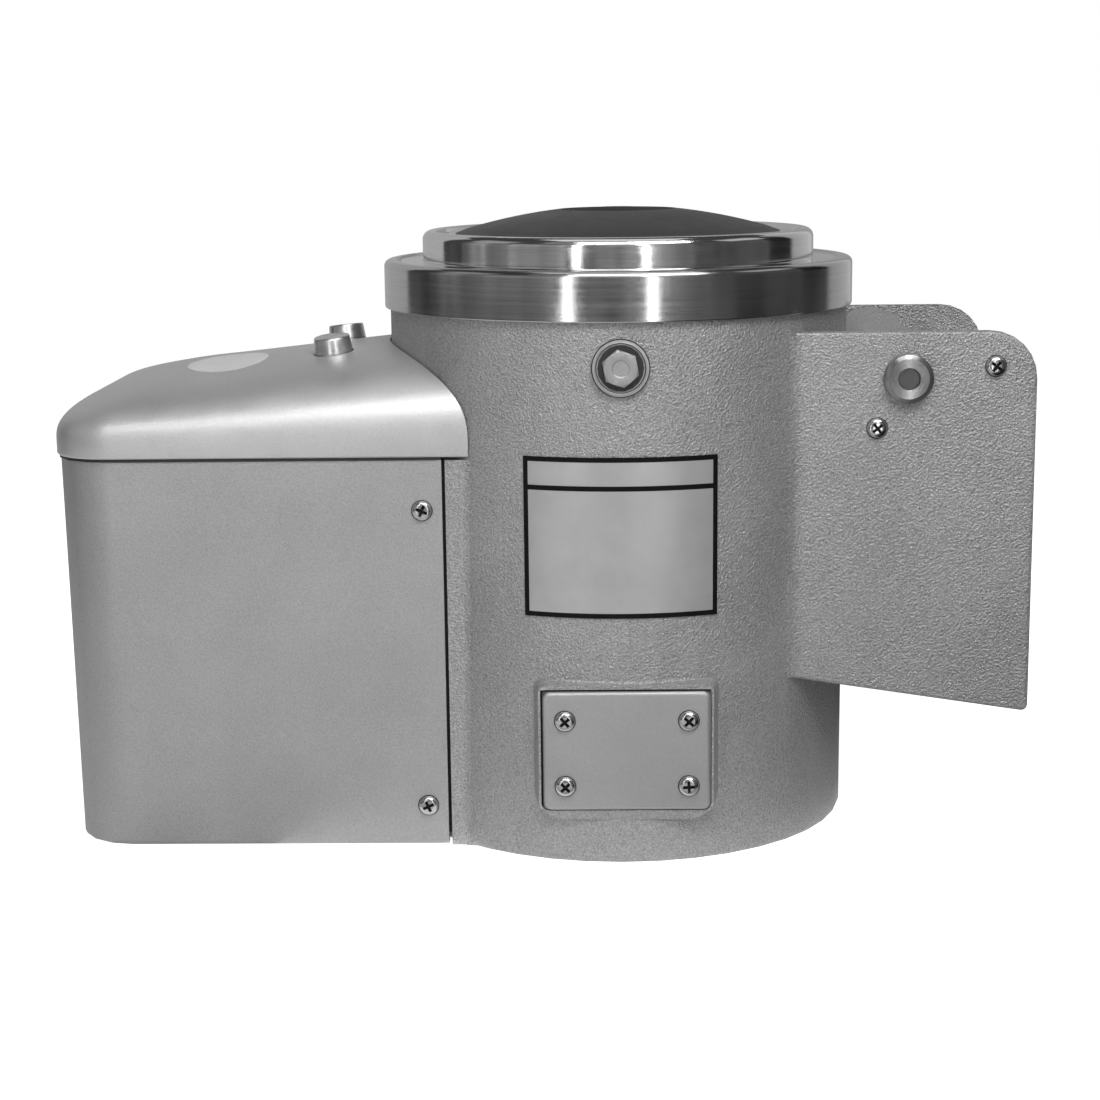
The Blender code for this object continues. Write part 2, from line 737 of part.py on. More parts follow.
def pad_blend():
    """The small concave blend where the pad's ledge meets the round drum."""
    drum = drum_radius_at(pad_top())
    left = PLATE_LEFT + PAD_BLEND
    right = PLATE_RIGHT - 2 * PAD_BLEND
    rings = []
    for step in range(PAD_BLEND_STEPS + 1):
        x = left + (right - left) * step / PAD_BLEND_STEPS
        bearing = asin(x / drum)
        radius = PAD_BLEND * (BLEND_END_SHARE if step in (0, PAD_BLEND_STEPS) else 1)
        foot = pad_top() + (PAD_FACE - drum * cos(bearing)) * tan(PAD_LEDGE_SLOPE)
        profile = arc(radius, radius, radius, 270, 180, 2) + [(-PAD_BLEND_ROOT, radius),
                                                              (-PAD_BLEND_ROOT, -PAD_BLEND_ROOT),
                                                           (radius, -PAD_BLEND_ROOT)]
        rings.append([((drum + out) * sin(bearing), -(drum + out) * cos(bearing),
                       foot + rise - out * cos(bearing) * tan(PAD_LEDGE_SLOPE)) for out, rise in profile])
    return lofted("pad_blend", rings)


def inlet_boss(name):
    """The round boss of a water connection, with a raised ring round its seat."""
    crest = DRUM_RADIUS + INLET_BOSS_PROUD
    seat = crest - INLET_RECESS_DEPTH
    outline = [(0, seat), (INLET_SEAT_RADIUS, seat), (INLET_SEAT_RADIUS, crest), (INLET_BOSS_RADIUS, crest),
               (INLET_BOSS_RADIUS, WALL_MIDDLE), (0, WALL_MIDDLE)]
    return revolved(name, outline)


def drum_outworks():
    """All that stands out from the drum's wall, rooted in the middle of that wall."""
    front = aimed(inlet_boss("plug_boss"), (0, 0, INLET_HEIGHT), (0, -1, 0))
    back = aimed(inlet_boss("inlet_boss"), (0, 0, INLET_HEIGHT), (0, 1, 0))
    outlet = prisms("outlet_boss",
                    [round_bar(0, OUTLET_HEIGHT, OUTLET_BOSS_RADIUS, WALL_MIDDLE, OUTLET_BOSS_FACE, "Y",
                                              PART_STEPS)])
    plan = rounded_rectangle(-DRUM_RADIUS - LEDGE_LENGTH, -DRUM_BORE * cos(ROOT_BEARING), -LEDGE_HALF_WIDTH,
                             LEDGE_HALF_WIDTH, MOTOR_PLATE_CORNER)
    ledge = prism("motor_ledge", plan, MOTOR_LEDGE_BOTTOM, MOTOR_LEDGE_TOP)
    outworks = chute_block()
    combine(outworks, [chute_fillets(), drum_wings(), wing_tabs(), access_pad(), pad_blend(), ledge],
            "UNION")
    root = revolved("wall_middle", [(0, DRUM_HEIGHT + OVERRUN), (WALL_MIDDLE, DRUM_HEIGHT + OVERRUN),
                                    (WALL_MIDDLE, -OVERRUN), (0, -OVERRUN)], DRUM_STEPS)
    combine(outworks, [root], "DIFFERENCE")
    combine(outworks, [front, back, outlet], "UNION")
    return outworks


def drum_body():
    """The drum casting with its chute, wings, bosses, web and openings."""
    foot = DRUM_FOOT_ROUND
    foot_radius = drum_radius_at(0)
    hub = HOUSING_SPIGOT_RADIUS + CLEARANCE
    under_web = WEB_TOP - WEB_THICKNESS
    outline = [(DRUM_BORE, DRUM_HEIGHT), (DRUM_RADIUS, DRUM_HEIGHT)] + arc(foot_radius - foot, foot, foot,
                                                                           0, -90, 2)
    outline += [(DRUM_BORE, 0), (DRUM_BORE, under_web), (hub, under_web), (hub, WEB_TOP),
                (DRUM_BORE, WEB_TOP)]
    drum = revolved("drum_body", outline, DRUM_STEPS)
    combine(drum, [drum_outworks()], "UNION")
    combine(drum, drum_cutters(), "DIFFERENCE")
    return finished(drum, CAST)


def drum_cutters():
    """Everything that is bored, milled or cored out of the drum."""
    recess = rounded_rectangle(PLATE_LEFT - RECESS_GAP_LEFT, PLATE_RIGHT + CLEARANCE,
                               PLATE_BOTTOM - CLEARANCE,
                               PLATE_TOP + RECESS_GAP_TOP, RECESS_CORNER, EDGE_STEPS, PLATE_CORNER)
    port = rounded_rectangle(PORT_LEFT, PORT_RIGHT, PORT_BOTTOM, PORT_TOP, PORT_CORNER, EDGE_STEPS)
    belt_way = rounded_rectangle(-BELT_WAY_HALF_WIDTH, BELT_WAY_HALF_WIDTH, BELT_WAY_BOTTOM, BELT_WAY_TOP,
                                 PORT_CORNER, EDGE_STEPS)
    milled = prisms("milled_openings", [
        (recess, -DRUM_RADIUS - OVERRUN - PAD_LIP, -RECESS_FLOOR, "Y"),
        (belt_way, -DRUM_RADIUS - OVERRUN, -DRUM_BORE * cos(WIDE_ROOT_BEARING), "X"),
    ])
    cored = prisms("cored_openings", [
        (port, -DRUM_RADIUS, -DRUM_BORE * cos(ROOT_BEARING), "Y"),
        round_bar(0, OUTLET_HEIGHT, OUTLET_RADIUS + CLEARANCE, DRUM_BORE * cos(ROOT_BEARING),
                  OUTLET_BOSS_FACE + OVERRUN, "Y",
                  PART_STEPS),
        round_bar(0, INLET_HEIGHT, INLET_BORE_RADIUS, -DRUM_RADIUS - OVERRUN,
                  -DRUM_BORE * cos(ROOT_BEARING), "Y"),
        round_bar(0, INLET_HEIGHT, INLET_BORE_RADIUS, DRUM_BORE * cos(ROOT_BEARING), DRUM_RADIUS + OVERRUN,
                  "Y"),
        round_bar(PIVOT_X, PIVOT_HEIGHT, PIVOT_SHAFT_RADIUS + CLEARANCE, -CHEEK_FACE - OVERRUN,
                  CHEEK_FACE + OVERRUN, "Y"),
    ])
    return [tunnel("tunnel", 0), milled, cored, drum_screw_holes()]


def drum_screw_holes():
    """Tapped holes for the access plate, and clear holes through the cheeks and wings."""
    holes = [round_bar(x, z, SCREW_HOLE_RADIUS, -RECESS_FLOOR - OVERRUN, SCREW_HOLE_DEPTH - PLATE_FACE, "Y",
                       SCREW_STEPS)
             for x in ACCESS_SCREW_XS for z in ACCESS_SCREW_HEIGHTS]
    for side in (1, -1):
        for x, z in stop_places():
            ends = sorted((side * (CHEEK_INSIDE - OVERRUN), side * (CHEEK_FACE + OVERRUN)))
            holes.append(round_bar(x, z, SCREW_HOLE_RADIUS, *ends, "Y", SCREW_STEPS))
        for height in CASING_SCREW_HEIGHTS:
            face = casing_half_width(height)
            ends = sorted((side * (face - SCREW_HOLE_DEPTH), side * (face + OVERRUN)))
            holes.append(round_bar(CASING_SCREW_X, height, SCREW_HOLE_RADIUS, *ends, "Y", SCREW_STEPS))
    return prisms("screw_holes", holes)


def stop_places():
    closed = (PIVOT_X - CLOSED_STOP_BEHIND, PIVOT_HEIGHT - CLOSED_STOP_DROP)
    opened = (PIVOT_X + OPEN_STOP_AHEAD, PIVOT_HEIGHT + OPEN_STOP_RISE)
    return closed, opened


def rim_ring():
    """The polished rim: a skirt over the drum, a rounded lip, and a ledge for the cover."""
    skirt = DRUM_RADIUS + CLEARANCE
    outline = [(RIM_LIP_RADIUS, LEDGE_HEIGHT), (RIM_LIP_RADIUS + RIM_LIP_SLOPE, RIM_TOP)]
    outline += arc(RIM_RADIUS - RIM_EDGE_ROUND, RIM_TOP - RIM_EDGE_ROUND, RIM_EDGE_ROUND, 90, 0, EDGE_STEPS)
    outline += [(RIM_RADIUS, RIM_BOTTOM + RIM_FOOT_CHAMFER), (RIM_RADIUS - RIM_FOOT_CHAMFER, RIM_BOTTOM),
                (skirt, RIM_BOTTOM), (skirt, DRUM_HEIGHT + CLEARANCE),
                (RIM_BORE_RADIUS, DRUM_HEIGHT + CLEARANCE),
                (RIM_BORE_RADIUS, LEDGE_HEIGHT)]
    return finished(revolved("rim_ring", outline, DRUM_STEPS), POLISHED)


def top_cover():
    """The spun cover: flange, raised wall, rolled edge, and the dished feed hole."""
    flange_top = COVER_SEAT + COVER_FLANGE_THICKNESS
    spigot = RIM_BORE_RADIUS - CLEARANCE
    outline = [(COVER_FLANGE_RADIUS, COVER_SEAT), (COVER_FLANGE_RADIUS, flange_top),
               (COVER_RADIUS, flange_top)]
    outline += arc(COVER_RADIUS - COVER_ROLL, COVER_TOP - COVER_ROLL, COVER_ROLL, 0, 120, EDGE_STEPS)
    outline += [(COVER_DISH_RADIUS, DISH_HEIGHT), (FEED_RADIUS, DISH_HEIGHT),
                (FEED_RADIUS, DISH_HEIGHT - COVER_WALL),
                (COVER_RADIUS - COVER_WALL, DISH_HEIGHT - COVER_WALL),
                (COVER_RADIUS - COVER_WALL, COVER_SEAT),
                (spigot - COVER_SPIGOT_WALL, COVER_SEAT),
                (spigot - COVER_SPIGOT_WALL, COVER_SEAT - COVER_SPIGOT_DEPTH),
                (spigot, COVER_SEAT - COVER_SPIGOT_DEPTH), (spigot, COVER_SEAT)]
    return finished(revolved("top_cover", outline, DRUM_STEPS), POLISHED)


def dome_height(radius):
    """Height of the lid's dome above its seat."""
    return LID_CROWN_HEIGHT - radius ** 2 / (2 * LID_DOME_RADIUS)


def rubber_lid():
    """The domed rubber lid, with a shallow round recess at its crown and a spigot below."""
    spigot = FEED_RADIUS - LOOSE_FIT
    inside = spigot - LID_SPIGOT_WALL
    start = LID_BADGE_RADIUS + LID_BADGE_DEPTH
    middle = (start + LID_RADIUS - LID_LIP) / 2
    outline = [(0, LID_SEAT + LID_CROWN_HEIGHT - LID_BADGE_DEPTH),
               (LID_BADGE_RADIUS, LID_SEAT + dome_height(LID_BADGE_RADIUS) - LID_BADGE_DEPTH),
               (start, LID_SEAT + dome_height(start)), (middle, LID_SEAT + dome_height(middle)),
               (LID_RADIUS - LID_LIP, LID_SEAT + LID_LIP), (LID_RADIUS, LID_SEAT + LID_LIP / 2),
               (LID_RADIUS, LID_SEAT), (spigot, LID_SEAT), (spigot, LID_SEAT - LID_SPIGOT_DEPTH),
               (inside, LID_SEAT - LID_SPIGOT_DEPTH),
               (inside, LID_SEAT + dome_height(inside) - LID_THICKNESS),
               (inside / 2, LID_SEAT + dome_height(inside / 2) - LID_THICKNESS),
               (0, LID_SEAT + LID_CROWN_HEIGHT - LID_THICKNESS)]
    return finished(revolved("rubber_lid", outline, LID_STEPS), RUBBER)


def chamber_liner():
    """The abrasive liner, open where potatoes leave."""
    outline = [(CHAMBER_RADIUS, LINER_TOP), (LINER_RADIUS, LINER_TOP), (LINER_RADIUS, LINER_BOTTOM),
               (CHAMBER_RADIUS, LINER_BOTTOM)]
    liner = revolved("chamber_liner", outline, DRUM_STEPS)
    inlets = prisms("liner_inlets", [
        round_bar(0, INLET_HEIGHT, INLET_BORE_RADIUS, -DRUM_RADIUS, -CHAMBER_RADIUS * cos(ROOT_BEARING),
                  "Y"),
        round_bar(0, INLET_HEIGHT, INLET_BORE_RADIUS, CHAMBER_RADIUS * cos(ROOT_BEARING), DRUM_RADIUS, "Y"),
    ])
    combine(liner, [tunnel("liner_window", LOOSE_FIT), inlets], "DIFFERENCE")
    return finished(liner, ABRASIVE)


def rotor_plate():
    """The cast rotor plate: a disc, a drip skirt round the bearing housing and a blind boss."""
    skirt_inner = ROTOR_SKIRT_RADIUS - ROTOR_SKIRT_WALL
    bore = SPIGOT_RADIUS + CLEARANCE
    boss_bottom = SHAFT_SHOULDER + CLEARANCE
    edge = ROTOR_EDGE_ROUND
    outline = [(0, ROTOR_DOME_TOP), (ROTOR_DOME_RADIUS, ROTOR_TOP + ABRASIVE_THICKNESS),
               (ROTOR_DOME_RADIUS, ROTOR_TOP), (ROTOR_RADIUS - edge, ROTOR_TOP),
               (ROTOR_RADIUS, ROTOR_TOP - edge),
               (ROTOR_RADIUS, ROTOR_BOTTOM),
               (ROTOR_SKIRT_RADIUS, ROTOR_BOTTOM), (ROTOR_SKIRT_RADIUS, ROTOR_SKIRT_BOTTOM),
               (skirt_inner, ROTOR_SKIRT_BOTTOM), (skirt_inner, boss_bottom), (bore, boss_bottom),
               (bore, SPIGOT_TOP + CLEARANCE), (0, SPIGOT_TOP + CLEARANCE)]
    return finished(revolved("rotor_plate", outline, ROTOR_STEPS), CAST)


def wave_lift(radius, turn):
    """Height of the rotor's waves: steep on the leading side, and level at the rim and the dome."""
    swell = (1 + sin(WAVE_COUNT * turn + WAVE_LEAN_SHARE * sin(WAVE_COUNT * turn))) / 2
    reach = (radius - ROTOR_DOME_RADIUS) / (ROTOR_RADIUS - ROTOR_DOME_RADIUS)
    return WAVE_HEIGHT * swell ** 2 * sin(pi * reach)


def rotor_abrasive():
    """The abrasive layer bonded to the rotor plate, raised in waves that throw the potatoes."""
    floor = ROTOR_TOP + CLEARANCE
    top = ROTOR_TOP + ABRASIVE_THICKNESS
    inner = ROTOR_DOME_RADIUS + CLEARANCE
    outer = ROTOR_RADIUS - ROTOR_EDGE_ROUND - ABRASIVE_SETBACK
    outline = [(inner, floor), (inner, top, 1)]
    for share in WAVE_RING_SHARES:
        outline.append((inner + (outer - inner) * share, top, 1))
    outline += [(outer, top, 1), (outer, floor)]
    return finished(revolved("rotor_abrasive", outline, ROTOR_STEPS, wave_lift), ABRASIVE)


def bearing_housing():
    """The flanged housing on the drum's web, with a shoulder between its two bearings."""
    bore = BEARING_RADIUS + CLEARANCE
    bottom = LOWER_BEARING_BOTTOM - BEARING_RECESS
    seat = WEB_TOP + CLEARANCE
    shoulder_low = LOWER_BEARING_BOTTOM + BEARING_WIDTH + CLEARANCE
    shoulder_high = UPPER_BEARING_BOTTOM - CLEARANCE
    outline = [(bore, HOUSING_TOP), (HOUSING_TUBE_RADIUS, HOUSING_TOP),
               (HOUSING_TUBE_RADIUS, seat + HOUSING_FLANGE_THICKNESS),
               (HOUSING_FLANGE_RADIUS, seat + HOUSING_FLANGE_THICKNESS), (HOUSING_FLANGE_RADIUS, seat),
               (HOUSING_SPIGOT_RADIUS, seat), (HOUSING_SPIGOT_RADIUS, bottom), (bore, bottom),
               (bore, shoulder_low),
               (HOUSING_SHOULDER_RADIUS, shoulder_low), (HOUSING_SHOULDER_RADIUS, shoulder_high),
               (bore, shoulder_high)]
    return finished(revolved("bearing_housing", outline, INNER_STEPS), CAST)


def bearing(name, bottom):
    """A sealed ball bearing, its shield set back between the rings."""
    bore = SHAFT_RADIUS + LOOSE_FIT
    ring = (BEARING_RADIUS - bore) * BEARING_RING_SHARE
    shield_inner = bore + ring
    shield_outer = BEARING_RADIUS - ring
    top = bottom + BEARING_WIDTH
    outline = [(bore, top), (shield_inner, top), (shield_inner, top - BEARING_RECESS),
               (shield_outer, top - BEARING_RECESS),
               (shield_outer, top), (BEARING_RADIUS, top), (BEARING_RADIUS, bottom), (bore, bottom)]
    return finished(revolved(name, outline, INNER_STEPS), STEEL)


def shaft_seal():
    """The lip seal over the upper bearing, hollow below."""
    bore = SHAFT_RADIUS + LOOSE_FIT
    top = SEAL_BOTTOM + SEAL_WIDTH
    outline = [(bore, top), (BEARING_RADIUS, top), (BEARING_RADIUS, SEAL_BOTTOM),
               (BEARING_RADIUS - SEAL_LIP, SEAL_BOTTOM),
               (BEARING_RADIUS - SEAL_LIP, top - SEAL_LIP), (bore, top - SEAL_LIP)]
    return finished(revolved("shaft_seal", outline, INNER_STEPS), RUBBER)


def main_shaft():
    """The stepped main shaft, from the driven pulley up into the rotor's boss."""
    edge = SHAFT_CHAMFER
    outline = [(0, SPIGOT_TOP), (SPIGOT_RADIUS - edge, SPIGOT_TOP), (SPIGOT_RADIUS, SPIGOT_TOP - edge),
               (SPIGOT_RADIUS, SHAFT_SHOULDER), (SHAFT_RADIUS, SHAFT_SHOULDER),
               (SHAFT_RADIUS, SHAFT_BOTTOM + edge),
               (SHAFT_RADIUS - edge, SHAFT_BOTTOM), (0, SHAFT_BOTTOM)]
    return finished(revolved("main_shaft", outline, INNER_STEPS), STEEL)


def groove(radius):
    """Rim and V groove of a pulley, from its top face to its bottom face."""
    top = PULLEY_BOTTOM + PULLEY_WIDTH
    return [(radius, top), (radius, PULLEY_MIDDLE + GROOVE_HALF_TOP),
            (radius - GROOVE_DEPTH, PULLEY_MIDDLE + GROOVE_HALF_FLOOR),
            (radius - GROOVE_DEPTH, PULLEY_MIDDLE - GROOVE_HALF_FLOOR),
            (radius, PULLEY_MIDDLE - GROOVE_HALF_TOP), (radius, PULLEY_BOTTOM)]


def driven_pulley():
    """The large pulley on the main shaft, with a thin web between hub and rim."""
    bore = SHAFT_RADIUS + CLEARANCE
    rim_inside = DRIVEN_PULLEY_RADIUS - GROOVE_DEPTH - DRIVEN_RIM_WALL
    top = PULLEY_BOTTOM + PULLEY_WIDTH
    high = PULLEY_BOTTOM + DRIVEN_WEB
    outline = [(bore, top), (DRIVEN_HUB_RADIUS, top), (DRIVEN_HUB_RADIUS, high), (rim_inside, high),
               (rim_inside, top)]
    outline += groove(DRIVEN_PULLEY_RADIUS)
    outline.append((bore, PULLEY_BOTTOM))
    return finished(revolved("driven_pulley", outline, PART_STEPS), CAST)


def motor_pulley():
    """The small pulley on the motor shaft."""
    bore = MOTOR_SHAFT_RADIUS + CLEARANCE
    outline = [(bore, PULLEY_BOTTOM + PULLEY_WIDTH)] + groove(MOTOR_PULLEY_RADIUS) + [(bore, PULLEY_BOTTOM)]
    return aimed(finished(revolved("motor_pulley", outline, SMALL_STEPS), STEEL), (MOTOR_AXIS_X, 0, 0),
                 (0, 0, 1))


def belt_ring(offset):
    """The belt's closed line round both pulleys, this far inside their rims."""
    span = -MOTOR_AXIS_X
    lean = degrees(acos((DRIVEN_PULLEY_RADIUS - MOTOR_PULLEY_RADIUS) / span))
    large = arc(0, 0, DRIVEN_PULLEY_RADIUS - offset, lean - 180, 180 - lean, PART_STEPS)
    small = arc(MOTOR_AXIS_X, 0, MOTOR_PULLEY_RADIUS - offset, 180 - lean, 180 + lean, SMALL_STEPS // 2)
    return large + small


def drive_belt():
    """The V belt, seated in both grooves."""
    proud = 2 * CLEARANCE
    outer = belt_ring(proud)
    inner = belt_ring(proud + BELT_THICKNESS)
    rows = []
    shape = bmesh.new()
    for ring, half in ((outer, BELT_HALF_OUTER), (inner, BELT_HALF_INNER), (inner, -BELT_HALF_INNER),
                       (outer, -BELT_HALF_OUTER)):
        rows.append([shape.verts.new((x, y, PULLEY_MIDDLE + half)) for x, y in ring])
    for first, second in zip(rows, rows[1:] + rows[:1]):
        for index in range(len(first)):
            after = (index + 1) % len(first)
            shape.faces.new((first[index], first[after], second[after], second[index]))
    return finished(mesh_object("drive_belt", shape), RUBBER)


def base_plate():
    """The sheet that closes the drive space from below."""
    radius = DRUM_BORE - LOOSE_FIT
    top = BASE_PLATE_BOTTOM + BASE_PLATE_THICKNESS
    outline = [(0, top), (radius, top), (radius, BASE_PLATE_BOTTOM), (0, BASE_PLATE_BOTTOM)]
    return finished(revolved("base_plate", outline, DRUM_STEPS), STEEL)


def pan_screw(name, location, direction):
    """A pan-head screw, its head's underside just clear of the face it holds."""
    edge = SCREW_HEAD_EDGE
    outline = [(0, SCREW_HEAD_HEIGHT), (SCREW_HEAD_RADIUS * SCREW_SHOULDER_SHARE, SCREW_HEAD_HEIGHT - edge),
               (SCREW_HEAD_RADIUS, 0),
               (SCREW_SHANK_RADIUS, 0), (SCREW_SHANK_RADIUS, -SCREW_LENGTH), (0, -SCREW_LENGTH)]
    screw = finished(revolved(name, outline, SCREW_STEPS), STEEL)
    return aimed(screw, Vector(location) + CLEARANCE * Vector(direction), direction)


def plate_ring(depth, inset):
    """Front view of the access plate at a distance from the drum's axis."""
    outline = rounded_rectangle(PLATE_LEFT + inset, PLATE_RIGHT - inset, PLATE_BOTTOM + inset,
                                PLATE_TOP - inset,
                                PLATE_CORNER - inset, EDGE_STEPS)
    return [(x, -depth, z) for x, z in outline]


def access_plate():
    """The cover plate over the clean-out port."""
    back = PLATE_FACE - PLATE_THICKNESS
    round_start = PLATE_FACE - PLATE_EDGE_ROUND
    rings = [plate_ring(back, 0)]
    rings += [plate_ring(round_start + out, PLATE_EDGE_ROUND - along)
              for along, out in arc(0, 0, PLATE_EDGE_ROUND, 0, 90, EDGE_STEPS)]
    plate = lofted("access_plate", rings)
    holes = [round_bar(x, z, SCREW_HOLE_RADIUS, -PLATE_FACE - OVERRUN, OVERRUN - RECESS_FLOOR, "Y",
                       SCREW_STEPS)
             for x in ACCESS_SCREW_XS for z in ACCESS_SCREW_HEIGHTS]
    combine(plate, [prisms("plate_holes", holes)], "DIFFERENCE")
    finished(plate, CAST)
    places = [(x, z) for x in ACCESS_SCREW_XS for z in ACCESS_SCREW_HEIGHTS]
    for number, (x, z) in enumerate(places, 1):
        pan_screw(f"access_screw_{number}", (x, -PLATE_FACE, z), (0, -1, 0))


def inlet_plug():
    """The hexagon plug in the front connection, and the sealing washer under its head."""
    seat = DRUM_RADIUS + INLET_BOSS_PROUD - INLET_RECESS_DEPTH
    washer_face = seat + CLEARANCE + WASHER_THICKNESS
    bore = INLET_BORE_RADIUS - LOOSE_FIT
    washer = revolved("plug_washer",
                      [(bore + LOOSE_FIT, washer_face), (INLET_SEAT_RADIUS - CLEARANCE, washer_face),
                                      (INLET_SEAT_RADIUS - CLEARANCE, seat + CLEARANCE),
                                      (bore + LOOSE_FIT, seat + CLEARANCE)])
    finished(aimed(washer, (0, 0, INLET_HEIGHT), (0, -1, 0)), RUBBER)
    under_head = washer_face + CLEARANCE
    face = under_head + PLUG_HEAD
    corners = polygon(6, PLUG_ACROSS_FLATS, PLUG_TURN)
    plug = prism("inlet_plug", [(x, INLET_HEIGHT + z) for x, z in corners], -face, -under_head, "Y")
    rounded(plug, PLUG_PIP_HEIGHT, 1)
    shank = prisms("plug_shank", [
        round_bar(0, INLET_HEIGHT, bore, -under_head - PLUG_PIP_HEIGHT, PLUG_SHANK - under_head, "Y"),
        round_bar(0, INLET_HEIGHT, PLUG_PIP_RADIUS, -face - PLUG_PIP_HEIGHT, -face + PLUG_PIP_HEIGHT, "Y")])
    combine(plug, [shank], "UNION")
    finished(plug, CAST)


def water_inlet():
    """The hose tail in the rear connection."""
    seat = DRUM_RADIUS + INLET_BOSS_PROUD - INLET_RECESS_DEPTH + CLEARANCE
    shank = INLET_BORE_RADIUS - LOOSE_FIT
    nut_face = seat + UNION_THICKNESS
    outline = [(TAIL_BORE_RADIUS, TAIL_END), (TAIL_RADIUS, TAIL_END),
               (TAIL_RADIUS + TAIL_BARB, TAIL_END - TAIL_BARB_LENGTH),
               (TAIL_RADIUS, TAIL_END - TAIL_BARB_LENGTH), (TAIL_RADIUS, nut_face),
               (UNION_RADIUS, nut_face),
               (UNION_RADIUS, seat),
                (shank, seat), (shank, seat - PLUG_SHANK), (TAIL_BORE_RADIUS, seat - PLUG_SHANK)]
    tail = revolved("water_inlet", outline, SMALL_STEPS)
    return finished(aimed(tail, (0, 0, INLET_HEIGHT), (0, 1, 0)), BRASS)


def waste_outlet():
    """The waste pipe stub, with a collar against the boss and a bead for the hose."""
    collar = OUTLET_BOSS_FACE + CLEARANCE
    inner_end = DRUM_BORE * cos(OUTLET_RADIUS / DRUM_BORE) + OUTLET_BEAD
    outline = [(OUTLET_BORE_RADIUS, OUTLET_END), (OUTLET_RADIUS, OUTLET_END),
               (OUTLET_RADIUS, collar + OUTLET_COLLAR_THICKNESS),
               (OUTLET_COLLAR_RADIUS, collar + OUTLET_COLLAR_THICKNESS), (OUTLET_COLLAR_RADIUS, collar),
               (OUTLET_RADIUS, collar), (OUTLET_RADIUS, inner_end), (OUTLET_BORE_RADIUS, inner_end)]
    pipe = revolved("waste_outlet", outline)
    return finished(aimed(pipe, (0, 0, OUTLET_HEIGHT), (0, 1, 0)), CAST)


def casing_ring(height, inset, right):
    """Plan of the motor casing at a height, drawn in by an inset."""
    half = casing_half_width(height) - inset
    left = casing_left(height) + inset
    radius = CASING_CORNER - inset
    points = (arc(left + radius, half - radius, radius, 90, 180)
              + arc(left + radius, radius - half, radius, 180, 270) + [(right, -half), (right, half)])
    return [(x, y, height) for x, y in points]


def casing_form(name, inset, right, low, high):
    """The casing's outer or inner form, with a rounded foot."""
    rings = []
    for turn in (90, 45, 0):
        draw = CASING_FOOT_ROUND * (1 - cos(radians(turn)))
        rings.append(casing_ring(low + CASING_FOOT_ROUND * (1 - sin(radians(turn))), inset + draw, right))
    rings.append(casing_ring(high, inset, right))
    return lofted(name, rings)


def round_drum(name, gap):
    """Cutter that clears the drum's outside."""
    radius = DRUM_RADIUS + gap
    return revolved(name, [(0, RIM_TOP), (radius, RIM_TOP), (radius, -OVERRUN), (0, -OVERRUN)], DRUM_STEPS)


def motor_casing():
    """The cast tub round the motor, open above and towards the drum."""
    tub = casing_form("motor_casing", 0, CASING_RIGHT, 0, CASING_TOP)
    hollow = casing_form("casing_hollow", CASING_WALL, CASING_RIGHT + OVERRUN, CASING_WALL,
                         CASING_TOP + OVERRUN)
    holes = [round_bar(CASING_SCREW_X, height, SCREW_HOLE_RADIUS, -CAP_HALF_WIDTH - OVERRUN,
                       CAP_HALF_WIDTH + OVERRUN,
                       "Y", SCREW_STEPS) for height in CASING_SCREW_HEIGHTS]
    holes.append(round_bar(GLAND_X, GLAND_HEIGHT, GLAND_THREAD_RADIUS + LOOSE_FIT, CASING_HALF_FOOT / 2,
                           CAP_HALF_WIDTH + OVERRUN, "Y"))
    combine(tub, [hollow, round_drum("casing_relief", LOOSE_FIT), prisms("casing_holes", holes)],
            "DIFFERENCE")
    finished(tub, CAST)
    places = [(side, height) for side in (-1, 1) for height in CASING_SCREW_HEIGHTS]
    for number, (side, height) in enumerate(places, 1):
        pan_screw(f"casing_screw_{number}", (CASING_SCREW_X, side * casing_half_width(height), height),
                  (0, side, 0))


def ridge_height(x):
    """Height of the cap along its middle, which falls away from the drum."""
    return CAP_RIDGE - CAP_FALL * (x + DRUM_RADIUS) / (CAP_LEFT + DRUM_RADIUS)


def cap_ring(turn, inset, bottom=None):
    """One ring of the cap. The angle runs from 0 at the rim to 90 degrees on the ridge."""
    width_share = cos(turn) ** (2 / CAP_POWER)
    rise_share = sin(turn) ** (2 / CAP_POWER)
    half = max((CAP_HALF_WIDTH - inset) * width_share, OVERRUN)
    left = CAP_LEFT + inset + CAP_END_SHOULDER * (1 - width_share)
    radius = min(CAP_CORNER - inset, half)
    right = CAP_RIGHT
    shoulder = CAP_BOTTOM + CAP_RIM_HEIGHT
    outline = (arc(left + radius, half - radius, radius, 90, 180)
               + arc(left + radius, radius - half, radius, 180, 270) + [(right, -half), (right, half)])
    return [(x, y,
             shoulder + (ridge_height(x) - inset - shoulder) * rise_share if bottom is None else bottom)
            for x, y in outline]


def cap_form(name, inset, bottom):
    rings = [cap_ring(0, inset, bottom)]
    rings += [cap_ring(radians(90) * ring / CAP_RINGS, inset) for ring in range(CAP_RINGS)]
    rings.append(cap_ring(CAP_CREST_TURN, inset))
    return lofted(name, rings)


def cap_surface(x, y):
    """Height of the cap's top over its long straight stretch."""
    shoulder = CAP_BOTTOM + CAP_RIM_HEIGHT
    share = (1 - (abs(y) / CAP_HALF_WIDTH) ** CAP_POWER) ** (1 / CAP_POWER)
    return shoulder + (ridge_height(x) - shoulder) * share


def button_seat(side):
    """Where a button stands on the cap, and the way it points."""
    y = side * BUTTON_Y
    step = OVERRUN
    slope_x = (cap_surface(BUTTON_X + step, y) - cap_surface(BUTTON_X - step, y)) / (2 * step)
    slope_y = (cap_surface(BUTTON_X, y + step) - cap_surface(BUTTON_X, y - step)) / (2 * step)
    return Vector((BUTTON_X, y, cap_surface(BUTTON_X, y))), Vector((-slope_x, -slope_y, 1)).normalized()


